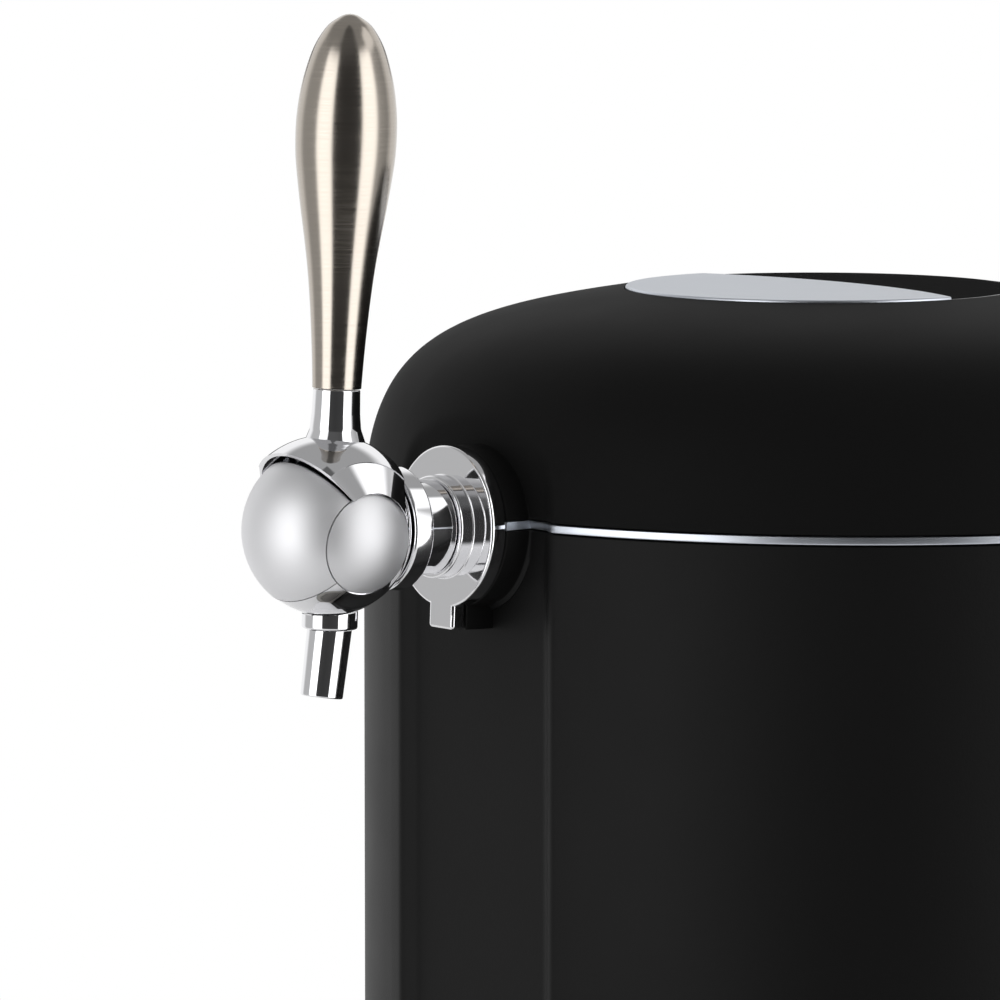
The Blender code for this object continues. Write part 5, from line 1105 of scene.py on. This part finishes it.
def build_hood():
    """Hood over the ball, with its chamfered eyes."""
    lever = sizes("lever")
    place = tap_place()
    past = lever.hood_radius + OVERRUN
    hood = ball("hood", lever.hood_radius, place)
    front_turn = Matrix.Rotation(radians(90) - lever.front_angle, 4, "X")
    rear_low = radians(90) - lever.rear_angle
    shift = lever.rear_setback * sin(rear_low)
    rear_turn = Matrix.Translation((0.0, shift * sin(rear_low), -shift * cos(rear_low)))
    rear_turn = rear_turn @ Matrix.Rotation(-lever.rear_angle, 4, "X")
    far = 2 * past
    front_side = box("front_side", (-past, 0.0, -far), (past, far, far), place @ front_turn)
    rear_side = box("rear_side", (-past, -far, -far), (past, 0.0, far), place @ rear_turn)
    carve(hood, "INTERSECT", front_side, rear_side)
    stretch = Matrix.Diagonal((1.0, lever.room_stretch, lever.room_stretch, 1.0))
    carve(hood, "DIFFERENCE", ball("hood_room", lever.hood_inner, place @ stretch))
    for side in (-1, 1):
        outline = [
            (0.0, past), (lever.flare_radius, past), (lever.flare_radius, lever.flare_depth),
            (lever.eye_radius, lever.eye_depth), (lever.eye_radius, 0.0), (0.0, 0.0),
        ]
        eye = lathe("eye", outline, ODD_STEPS, place=place @ Matrix.Rotation(side * pi / 2, 4, "Y"))
        carve(hood, "DIFFERENCE", eye)
    settle(hood, "tap_lever", finish_of("chrome"), ["lever_hood"])


def upright_place():
    """From the grip's own axes, with the pivot at zero."""
    lever = sizes("lever")
    back = Matrix.Translation((0.0, lever.setback, 0.0)) @ Matrix.Rotation(-lever.lean, 4, "X")
    return tap_place() @ back


# Outline of the grip from its top down: place along it and radius, as shares
GRIP_OUTLINE_SHARES = (
    (0.0, 0.0), (0.003, 0.12), (0.012, 0.245), (0.030, 0.42), (0.060, 0.58), (0.095, 0.71),
    (0.140, 0.82), (0.190, 0.91), (0.250, 0.975), (0.310, 1.0), (0.380, 0.985), (0.450, 0.925),
    (0.520, 0.85), (0.600, 0.755), (0.680, 0.67), (0.760, 0.605), (0.840, 0.555), (0.920, 0.515),
    (1.0, 0.485),
)


def smooth_outline(points, steps):
    """Points on a smooth curve through given points."""
    made = []
    for index in range(len(points) - 1):
        around = [points[max(index - 1, 0)], points[index], points[index + 1]]
        around.append(points[min(index + 2, len(points) - 1)])
        a, b, c, d = (Vector(point) for point in around)
        for step in range(steps):
            t = step / steps
            made.append(tuple(0.5 * (
                2 * b + (c - a) * t + (2 * a - 5 * b + 4 * c - d) * t ** 2
                + (3 * b - a - 3 * c + d) * t ** 3
            )))
    return made + [tuple(points[-1])]


def build_grip():
    """Chrome neck and brushed steel grip."""
    lever = sizes("lever")
    upright = upright_place()
    waist = lever.neck_top_radius + 0.0002
    middle = (lever.neck_base + lever.neck_top) / 2
    neck = lathe("neck", rounded([
        (0.0, lever.neck_top), (lever.neck_top_radius, lever.neck_top, 0.0004),
        (waist, middle, 0.004), (waist + 0.0004, middle - 0.004, 0.004),
        (lever.neck_foot_radius, lever.neck_base - 0.003, 0.001), (lever.neck_foot_radius, 0.0),
        (0.0, 0.0),
    ], steps=8), ROUND_STEPS, place=upright)
    carve(neck, "DIFFERENCE", ball("neck_seat", lever.hood_radius - 0.0002, tap_place()))
    settle(neck, "tap_lever", finish_of("chrome"), ["lever_neck"])

    low = lever.neck_top + SEAM
    outline = []
    for along, wide in smooth_outline(GRIP_OUTLINE_SHARES, 5):
        height = low + lever.grip_length * (1.0 - along)
        outline.append((max(wide, 0.0) * lever.grip_radius, height))
    outline += [(outline[-1][0] - 0.0003, low - 0.0001), (0.0, low - 0.0001)]
    grip = lathe("grip", outline, ROUND_STEPS, place=upright)
    settle(grip, "tap_lever", finish_of("steel"), ["lever_handle"], crisp=SOFT_ANGLE)


# Tray


def tray_form(name, inset, low, high):
    """The tray's plan as a solid, hollowed at the back to pass the casing."""
    tray, body = sizes("tray"), sizes("body")
    radius = tray.half_width - inset
    centre = tray.half_width - tray.front
    outline = arc(radius, 180.0, 360.0, 64, (0.0, centre)) + [(radius, 0.0), (-radius, 0.0)]
    form = prism(name, outline, low, high)
    back = rod(
        name + "_back", body.radius + tray.clearance + inset, (0, 0, low - OVERRUN),
        (0, 0, high + OVERRUN), 2 * FINE_STEPS,
    )
    return carve(form, "DIFFERENCE", back)


def build_tray():
    """Cup with its ledge, and the slotted grid on it."""
    tray, body = sizes("tray"), sizes("body")
    cup = eased(tray_form("tray_cup", 0.0, tray.bottom, tray.top), 0.0008, 3)
    well = tray_form("well", tray.wall, tray.bottom + tray.floor, tray.top + OVERRUN)
    seat = tray_form("seat", tray.lip, tray.top - tray.ledge, tray.top + OVERRUN)
    carve(cup, "DIFFERENCE", eased(well, 0.0015, 3), seat)
    settle(cup, "tray", finish_of("plastic"), ["drip_tray"])

    grid = tray_form("grid_plate", tray.lip + SEAM, tray.grid_low, tray.grid_high)
    cutter = box("slots", (0, 0, 0), (OVERRUN, OVERRUN, OVERRUN))
    grow(
        cutter, slots_tree(), Slot_Width=tray.slot_width, Pitch=tray.slot_pitch,
        Count=tray.slot_count, Rear=-body.radius - tray.rear_margin,
        Centre=tray.half_width - tray.front,
        Reach=tray.half_width - tray.slot_margin, Middle=(tray.grid_low + tray.grid_high) / 2,
        Depth=2 * OVERRUN,
    )
    carve(grid, "DIFFERENCE", eased(cutter, 0.0019, 4))
    eased(grid, 0.0003)
    settle(grid, "grid", finish_of("sheet"), ["drip_grid"])
    dressed("tray_dock", "body", finish_of("plastic"), 0.0005)


# Rear


def build_housing():
    """Vented rear housing with rounded edges."""
    rear, body = sizes("rear"), sizes("body")
    half, back, corner = rear.half_width, rear.back, rear.corner
    right = arc(corner, 0.0, 90.0, 16, (half - corner, back - corner))
    left = arc(corner, 90.0, 180.0, 16, (corner - half, back - corner))
    outline = [(half, rear.root)] + right + left + [(-half, rear.root)]
    housing = eased(prism("housing", outline, rear.bottom, rear.top), rear.edge, 4, radians(60))
    inner = half - rear.wall
    inner_corner = corner - rear.wall
    right = arc(inner_corner, 0.0, 90.0, 16, (inner - inner_corner, back - corner))
    left = arc(inner_corner, 90.0, 180.0, 16, (inner_corner - inner, back - corner))
    outline = [(inner, rear.root - OVERRUN)] + right + left + [(-inner, rear.root - OVERRUN)]
    room = prism("room", outline, rear.bottom + rear.wall, rear.top - rear.wall)
    seat = rod("seat", body.radius + SEAM, (0, 0, -OVERRUN), (0, 0, 0.3), 2 * FINE_STEPS)
    carve(housing, "DIFFERENCE", room, seat)

    low = rear.middle - (rear.vent_count - 1) * rear.vent_pitch / 2
    slot_end = rear.vent_half_width - rear.vent_height / 2
    stadium = arc(rear.vent_height / 2, -90.0, 90.0, 12, (slot_end, 0.0))
    stadium += arc(rear.vent_height / 2, 90.0, 270.0, 12, (-slot_end, 0.0))
    across = Matrix.Rotation(pi / 2, 4, "X")
    slots = prism("slots", stadium, -back - OVERRUN, 2 * OVERRUN - back, across)
    repeated(slots, rear.vent_count, step=(0, 0, rear.vent_pitch), start=(0, 0, low))
    carve(housing, "DIFFERENCE", slots)

    side_end = rear.side_length / 2 - rear.side_width / 2
    stadium = arc(rear.side_width / 2, 0.0, 180.0, 12, (0.0, side_end))
    stadium += arc(rear.side_width / 2, 180.0, 360.0, 12, (0.0, -side_end))
    sideways = Matrix(((0, 0, 1, 0), (1, 0, 0, 0), (0, 1, 0, 0), (0, 0, 0, 1)))
    for side in (-1, 1):
        inside, outside = half - OVERRUN, half + OVERRUN
        ends = (inside, outside) if side > 0 else (-outside, -inside)
        slots = prism("slots", stadium, ends[0], ends[1], sideways)
        start = (0, rear.side_start + rear.side_width / 2, rear.middle)
        repeated(slots, rear.side_count, step=(0, rear.side_pitch, 0), start=start)
        carve(housing, "DIFFERENCE", slots)
    z = rear.fittings_height
    # Openings for the inlet and the switch: middle, half width and half height
    for x, wide, tall in ((rear.inlet_x, 0.0143, 0.0103), (rear.switch_x, 0.0083, 0.0123)):
        low, high = (x - wide, back - 2 * OVERRUN, z - tall), (x + wide, back + OVERRUN, z + tall)
        carve(housing, "DIFFERENCE", box("hole", low, high))
    settle(housing, "body", finish_of("plastic"), ["rear_housing"])


def build_screws():
    """Pan-head screws with a cross recess, one in each corner."""
    rear = sizes("rear")
    radius, height = rear.screw_radius, rear.screw_height
    seat = rear.back + SEAM
    thread, thread_end, point = 0.0015, -0.006, -0.0075
    head = lathe("screws", rounded([
        (0.0, height), (radius * 0.6, height, 0.0010), (radius, height * 0.45, 0.0005),
        (radius, 0.0), (thread, 0.0), (thread, thread_end), (0.0, point),
    ]), 32)
    # The cross recess, turned a little from upright
    long, wide, deep, twist = radius * 0.55, radius * 0.13, height * 0.35, 0.4
    for turn in (twist, twist + pi / 2):
        blade = box(
            "blade", (-long, -wide, deep), (long, wide, 2 * height), Matrix.Rotation(turn, 4, "Z")
        )
        carve(head, "DIFFERENCE", blade)
    moved(head, Matrix.Rotation(-pi / 2, 4, "X"))
    low, high = rear.bottom + rear.screw_inset, rear.top - rear.screw_inset
    repeated(head, 2, step=(2 * rear.screw_x, 0, 0), start=(-rear.screw_x, seat, low))
    repeated(head, 2, step=(0, 0, high - low))
    settle(head, "body", finish_of("zinc"), [f"rear_screw_{n}" for n in range(1, 5)])


def build_feet():
    """Rubber feet with a rounded, dished sole."""
    low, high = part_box("foot_1")
    radius = (high.x - low.x) / 2
    x, y = (low.x + high.x) / 2, (low.y + high.y) / 2
    foot = lathe("feet", rounded([
        (0.0, high.z), (radius, high.z, 0.0004), (radius, 0.0, 0.0008), (radius * 0.6, 0.0, 0.0003),
        (radius * 0.5, 0.0006, 0.0003), (0.0, 0.0006),
    ]), SMALL_STEPS)
    repeated(foot, 2, step=(-2 * x, 0, 0), start=(x, y, 0))
    repeated(foot, 2, step=(0, -2 * y, 0))
    settle(foot, "body", finish_of("rubber"), [f"foot_{n}" for n in range(1, 5)])


def build_heat_sink():
    """Extruded sink with its row of fins."""
    rear = sizes("rear")
    low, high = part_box("heat_sink")
    # The fins' roots are sunk into the plate
    root = low.y + rear.sink_base - 0.001
    fin = box("fins", (0, root, low.z), (rear.fin_thickness, high.y, high.z))
    pitch = (high.x - low.x - rear.fin_thickness) / (rear.fin_count - 1)
    repeated(fin, rear.fin_count, step=(pitch, 0, 0), start=(low.x, 0, 0))
    sink = box("sink", tuple(low), (high.x, low.y + rear.sink_base, high.z))
    carve(sink, "UNION", fin)
    settle(sink, "body", finish_of("aluminium"), ["heat_sink"])


def build_rotor():
    """Fan rotor: hub cup and swept blades."""
    rear = sizes("rear")
    rear_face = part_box("fan_rotor")[1].y
    hub_low, hub_high, hub_radius = -0.0085, 0.0085, 0.0168
    shaft_radius, shaft_length = 0.0020, 0.0034
    blade_root, blade_span, blade_steps = 0.0160, 0.0255, 8
    # The shaft's end is a little short of the node's rear face
    centre = Vector((0.0, rear_face - 0.0036 - hub_high, rear.middle))
    place = Matrix.Translation(centre) @ Matrix.Rotation(-pi / 2, 4, "X")
    hub = lathe("rotor", rounded([
        (0.0, hub_low), (hub_radius, hub_low, 0.0020), (hub_radius, hub_high, 0.0005),
        (shaft_radius, hub_high), (shaft_radius, hub_high + shaft_length),
        (0.0, hub_high + shaft_length),
    ]), SMALL_STEPS)
    work = bmesh.new()
    rings = []
    for step in range(blade_steps + 1):
        share = step / blade_steps
        radius = blade_root + share * blade_span
        pitch = radians(52 - 18 * share)
        half_chord = 0.0085 + 0.002 * share
        sweep = radians(10) * share
        ring = []
        for side, thick in ((-1, 0), (0, 1), (1, 0), (0, -1)):
            along = side * half_chord
            camber = 0.0012 * (1 - side * side) + thick * 0.0006
            around = along * cos(pitch) - camber * sin(pitch)
            up = along * sin(pitch) + camber * cos(pitch)
            angle = sweep + around / radius
            up = min(max(up, hub_low + 0.0005), hub_high - 0.0005)
            ring.append(work.verts.new((radius * cos(angle), radius * sin(angle), up)))
        rings.append(ring)
    bridge(work, rings)
    work.faces.new(rings[0])
    work.faces.new(rings[-1])
    bmesh.ops.recalc_face_normals(work, faces=work.faces)
    blade = new_object("blades", work)
    repeated(blade, rear.blade_count, turn=(0, 0, 2 * pi / rear.blade_count))
    carve(hub, "UNION", blade)
    moved(hub, place)
    settle(hub, "rotor", finish_of("plastic"), ["fan_rotor"])


# Keg chamber


def build_chamber():
    """Drawn liner, grey rim, the tap's elbow and the parked coupler."""
    low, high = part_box("keg_liner")
    outer = high.x
    sheet = 0.0015
    inner, floor = outer - sheet, low.z + sheet
    liner = lathe("liner", rounded([
        (0.0, floor), (inner, floor, 0.004), (inner, high.z), (outer, high.z),
        (outer, low.z, 0.0055), (0.0, low.z),
    ], steps=6), FINE_STEPS)
    settle(liner, "body", finish_of("aluminium"), ["keg_liner"])
    dressed("chamber_rim", "body", finish_of("grey"), 0.0004)
    dressed("tap_elbow", "body", finish_of("grey"), 0.0008)
    dressed("keg_coupler", "body", finish_of("grey"), 0.0)


def build_hose():
    """Hose along the rim, from the elbow to the coupler."""
    radius, circle, around = 0.0040, 0.1075, 24
    low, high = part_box("beer_hose")
    # From the elbow to the coupler, in degrees round the body's axis
    path = arc(circle, 266.2, 214.7, 40)
    work = bmesh.new()
    rings = []
    for x, y in path:
        outward = Vector((x, y, 0.0)).normalized()
        ring = []
        for step in range(around):
            turn = 2 * pi * step / around
            point = Vector((x, y, (low.z + high.z) / 2))
            point += outward * radius * cos(turn) + Vector((0, 0, radius * sin(turn)))
            ring.append(work.verts.new(point))
        rings.append(ring)
    bridge(work, rings)
    work.faces.new(rings[0])
    work.faces.new(rings[-1])
    bmesh.ops.recalc_face_normals(work, faces=work.faces)
    settle(new_object("hose", work), "body", finish_of("hose"), ["beer_hose"])


def build_lid_lining():
    """Moulded liner of the lid and its seal."""
    dressed("lid_liner", "lid", finish_of("grey"), 0.0)
    low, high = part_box("lid_seal")
    middle, half = high.x - 0.003, 0.003
    seal = lathe("seal", rounded([
        (middle - half, low.z, 0.0012), (middle + half, low.z, 0.0012),
        (middle + half, high.z, 0.0006), (middle - half, high.z, 0.0006),
    ], closed=True), FINE_STEPS, closed=True)
    settle(seal, "lid", finish_of("rubber"), ["lid_seal"])


# CAD nodes that keep their shape, with the body they are on and their finish
CARRIED = (
    ("base_plate", "body", "plastic", 0.0006), ("fan_frame", "body", "plastic", 0.0006),
    ("hinge_bracket", "body", "plastic", 0.0006), ("hinge_leaf", "lid", "plastic", 0.0006),
    ("inlet_socket", "body", "plastic", 0.0004), ("switch_frame", "body", "plastic", 0.0004),
    ("power_rocker", "rocker", "acrylic", 0.0004), ("power_board", "body", "board", 0.0003),
    ("touch_board", "lid", "board", 0.0003), ("hinge_pin", "body", "zinc", 0.0003),
    ("pivot_pin", "body", "zinc", 0.0003), ("lever_rod", "tap_lever", "zinc", 0.0),
    ("valve_stem", "valve", "zinc", 0.0002), ("valve_seal", "valve", "rubber", 0.0002),
    ("foam_jacket", "body", "foam", 0.0006), ("lid_foam", "lid", "foam", 0.0010),
    ("cold_block", "body", "aluminium", 0.0004), ("peltier_module", "body", "ceramic", 0.0002),
)


# Studio


def build_floor():
    """Pale floor that runs out to white, and keeps the object's shadow."""
    work = bmesh.new()
    bmesh.ops.create_grid(work, x_segments=1, y_segments=1, size=40.0)
    floor = new_object("floor", work)
    material = bpy.data.materials.new("pale_floor")
    material.use_nodes = True
    tree = material.node_tree
    shader = tree.nodes["Principled BSDF"]
    shader.inputs["Base Color"].default_value = (*linear("#f2f2f2"), 1.0)
    shader.inputs["Roughness"].default_value = 0.7
    shader.inputs["Specular IOR Level"].default_value = 0.2
    place = add(tree, "ShaderNodeTexCoord").outputs["Object"]
    away = add(tree, "ShaderNodeVectorMath", operation="LENGTH", _0=place).outputs["Value"]
    share = add(tree, "ShaderNodeMapRange", Value=away, interpolation_type="SMOOTHSTEP")
    share.inputs["From Min"].default_value = 0.30
    share.inputs["From Max"].default_value = 0.75
    clear = add(tree, "ShaderNodeBsdfTransparent")
    mix = add(
        tree, "ShaderNodeMixShader", _0=share.outputs[0], _1=shader.outputs[0], _2=clear.outputs[0]
    )
    tree.links.new(mix.outputs[0], tree.nodes["Material Output"].inputs["Surface"])
    floor.data.materials.append(material)


# Brightness of the room round the camera's direction, from the camera's side
# to the rear: the share of a half turn, and the level there
ROOM_LEFT = (
    (0.0, 0.04), (0.16, 0.05), (0.18, 2.3), (0.37, 2.3), (0.41, 0.50), (0.62, 0.50), (0.70, 1.0),
)
ROOM_RIGHT = (
    (0.0, 0.04), (0.20, 0.05), (0.22, 2.3), (0.40, 2.3), (0.45, 0.60), (0.60, 0.40), (0.70, 1.0),
)
CEILING_LEVEL = 0.36
NEAR_CEILING_LEVEL = 0.12
HIGH_BOX_LEVEL = 1.25
TABLE_LEVEL = 0.85
FLAG_LEVEL = 0.02
DIFFUSE_LEVEL = 0.72
# The one lamp: a soft box up at the left, in metres and watts
KEY_SPOT, KEY_AIM, KEY_SIZE, KEY_POWER = (-0.9, -1.0, 1.7), (0.0, 0.0, 0.3), 1.1, 9.0


def build_room(view, side):
    """World light: dark round the camera, two tall soft boxes, a white rear."""
    world = bpy.data.worlds.new("studio_room")
    bpy.context.scene.world = world
    world.use_nodes = True
    tree = world.node_tree
    tree.nodes.clear()
    place = add(tree, "ShaderNodeTexCoord").outputs["Generated"]

    def along(axis):
        node = add(tree, "ShaderNodeVectorMath", operation="DOT_PRODUCT", _0=place, _1=tuple(axis))
        return node.outputs["Value"]

    def worked(operation, first, second=0.0):
        return add(tree, "ShaderNodeMath", operation=operation, _0=first, _1=second).outputs[0]

    def step_between(value, low, high):
        node = add(tree, "ShaderNodeMapRange", Value=value, interpolation_type="SMOOTHSTEP")
        node.inputs["From Min"].default_value = low
        node.inputs["From Max"].default_value = high
        return node.outputs[0]

    def blend(share, first, second):
        kept = worked("MULTIPLY", first, worked("SUBTRACT", 1.0, share))
        return worked("ADD", kept, worked("MULTIPLY", second, share))

    turn = worked("ARCTAN2", along(side), along(view))
    share = worked("DIVIDE", worked("ABSOLUTE", turn), pi)
    sides = []
    for stops in (ROOM_LEFT, ROOM_RIGHT):
        ramp = add(tree, "ShaderNodeValToRGB", Fac=share)
        entries = ramp.color_ramp.elements
        while len(entries) < len(stops):
            entries.new(0.5)
        top = max(level for _, level in stops)
        for entry, (position, level) in zip(entries, stops):
            entry.position = position
            entry.color = (level / top, level / top, level / top, 1.0)
        sides.append(worked("MULTIPLY", ramp.outputs["Color"], top))
    level = blend(worked("GREATER_THAN", turn), sides[0], sides[1])
    height = along((0, 0, 1))
    ceiling = blend(step_between(share, 0.14, 0.26), NEAR_CEILING_LEVEL, CEILING_LEVEL)
    level = blend(step_between(height, 0.50, 0.72), level, ceiling)
    level = blend(step_between(height, -0.36, -0.54), level, TABLE_LEVEL)
    # A soft box high on the right, for the chamfer round the hood's eye
    high = worked("MULTIPLY", step_between(height, 0.46, 0.54), step_between(height, 0.84, 0.76))
    high = worked("MULTIPLY", high, worked("GREATER_THAN", turn))
    high = worked("MULTIPLY", high, step_between(share, 0.38, 0.44))
    high = worked("MULTIPLY", high, step_between(share, 0.68, 0.62))
    level = blend(high, level, HIGH_BOX_LEVEL)
    # A dark flag low behind the piece, for the gloss panel in its top
    flag = worked("MULTIPLY", step_between(height, 0.035, 0.055), step_between(height, 0.16, 0.12))
    flag = worked("MULTIPLY", flag, step_between(share, 0.82, 0.88))
    level = blend(flag, level, FLAG_LEVEL)
    path = add(tree, "ShaderNodeLightPath").outputs
    level = blend(path["Is Glossy Ray"], DIFFUSE_LEVEL, level)
    white = worked("MAXIMUM", path["Is Camera Ray"], path["Is Transmission Ray"])
    background = add(tree, "ShaderNodeBackground", Strength=blend(white, level, 1.0))
    background.inputs["Color"].default_value = (1, 1, 1, 1)
    output = add(tree, "ShaderNodeOutputWorld")
    tree.links.new(background.outputs[0], output.inputs["Surface"])


def build_camera():
    """Camera at the photograph's angle."""
    studio = sizes("studio")
    a, e = studio.azimuth, studio.elevation
    forward = Vector((-sin(a) * cos(e), cos(a) * cos(e), -sin(e)))
    side = Vector((cos(a), sin(a), 0.0))
    up = side.cross(forward)
    camera = bpy.data.objects.new("camera", bpy.data.cameras.new("camera"))
    bpy.context.scene.collection.objects.link(camera)
    camera.data.lens = studio.lens
    camera.data.sensor_width = studio.sensor
    matrix = Matrix((side, up, -forward)).transposed().to_4x4()
    aim = side * studio.aim_side + Vector((0, 0, studio.aim_height))
    matrix.translation = aim - forward * studio.distance
    camera.matrix_world = matrix
    bpy.context.scene.camera = camera
    return Vector((sin(a), -cos(a), 0.0)), side


def build_lamp(name, spot, aim, size, power):
    """A square soft box."""
    data = bpy.data.lights.new(name, "AREA")
    data.size = size
    data.energy = power
    lamp = bpy.data.objects.new(name, data)
    bpy.context.scene.collection.objects.link(lamp)
    spot, aim = Vector(spot), Vector(aim)
    turn = (aim - spot).to_track_quat("-Z", "Y").to_matrix().to_4x4()
    lamp.matrix_world = Matrix.Translation(spot) @ turn
    lamp.visible_glossy = False


class DispenserOperator:
    """What the operators share."""

    bl_options = {"REGISTER", "UNDO"}
    steps = ()

    def execute(self, context):
        """Build the group, and let a failure stop the script."""
        for step in self.steps:
            step()
        return {"FINISHED"}


class DISPENSER_OT_body(DispenserOperator, bpy.types.Operator):
    """Build the casing, its bright strip and the feet"""

    bl_idname = "dispenser.body"
    bl_label = "Body"
    steps = (build_casing, build_trim, build_feet)


class DISPENSER_OT_lid(DispenserOperator, bpy.types.Operator):
    """Build the lid, its plates, liner and seal"""

    bl_idname = "dispenser.lid"
    bl_label = "Lid"
    steps = (build_lid, build_top_plates, build_lid_lining)


class DISPENSER_OT_tap(DispenserOperator, bpy.types.Operator):
    """Build the tap with its caps and nozzle"""

    bl_idname = "dispenser.tap"
    bl_label = "Tap"
    steps = (build_tap_mount, build_tap_head, build_nozzle)


class DISPENSER_OT_lever(DispenserOperator, bpy.types.Operator):
    """Build the lever's hood, neck and grip"""

    bl_idname = "dispenser.lever"
    bl_label = "Lever"
    steps = (build_hood, build_grip)


class DISPENSER_OT_tray(DispenserOperator, bpy.types.Operator):
    """Build the drip tray and its grid"""

    bl_idname = "dispenser.tray"
    bl_label = "Drip tray"
    steps = (build_tray,)


class DISPENSER_OT_chamber(DispenserOperator, bpy.types.Operator):
    """Build the keg chamber and the beer line"""

    bl_idname = "dispenser.chamber"
    bl_label = "Keg chamber"
    steps = (build_chamber, build_hose)


class DISPENSER_OT_rear(DispenserOperator, bpy.types.Operator):
    """Build the rear housing, its screws and the cooling unit"""

    bl_idname = "dispenser.rear"
    bl_label = "Rear"
    steps = (build_housing, build_screws, build_heat_sink, build_rotor)


class DISPENSER_OT_carried(bpy.types.Operator):
    """Dress the CAD pieces that keep their shape"""

    bl_idname = "dispenser.carried"
    bl_label = "Inner pieces"
    bl_options = {"REGISTER", "UNDO"}

    def execute(self, context):
        """Round the edges of each piece and give it its finish."""
        for node, body, finish, ease in CARRIED:
            dressed(node, body, finish_of(finish), ease)
        return {"FINISHED"}


class DISPENSER_OT_studio(bpy.types.Operator):
    """Set up floor, room, lamp and camera"""

    bl_idname = "dispenser.studio"
    bl_label = "Studio"
    bl_options = {"REGISTER", "UNDO"}

    def execute(self, context):
        """Light the piece and aim the camera."""
        context.scene.view_settings.view_transform = "Standard"
        build_floor()
        view, side = build_camera()
        build_room(view, side)
        build_lamp("key_box", KEY_SPOT, KEY_AIM, KEY_SIZE, KEY_POWER)
        return {"FINISHED"}


class DISPENSER_PT_panel(bpy.types.Panel):
    """Buttons and sizes of the dispenser"""

    bl_idname = "DISPENSER_PT_panel"
    bl_label = "Dispenser"
    bl_space_type = "VIEW_3D"
    bl_region_type = "UI"
    bl_category = "Dispenser"

    def draw(self, context):
        """List the operators and the sizes."""
        for operator in OPERATORS:
            self.layout.operator(operator.bl_idname)
        for group, kind in GROUPS.items():
            column = self.layout.column(heading=group)
            for name in kind.__annotations__:
                column.prop(getattr(context.scene, group), name)


OPERATORS = (
    DISPENSER_OT_body, DISPENSER_OT_lid, DISPENSER_OT_tap, DISPENSER_OT_lever, DISPENSER_OT_tray,
    DISPENSER_OT_chamber, DISPENSER_OT_rear, DISPENSER_OT_carried, DISPENSER_OT_studio,
)


def register():
    """Register the classes and hang the groups on the scene."""
    for kind in (*GROUPS.values(), *OPERATORS, DISPENSER_PT_panel):
        bpy.utils.register_class(kind)
    for group, kind in GROUPS.items():
        setattr(bpy.types.Scene, group, bpy.props.PointerProperty(type=kind))


def unregister():
    """Take all that back."""
    for group in GROUPS:
        delattr(bpy.types.Scene, group)
    for kind in reversed((*GROUPS.values(), *OPERATORS, DISPENSER_PT_panel)):
        bpy.utils.unregister_class(kind)


def main():
    """Build everything."""
    register()
    for operator in OPERATORS:
        family, name = operator.bl_idname.split(".")
        getattr(getattr(bpy.ops, family), name)()


if __name__ == "__main__":
    main()
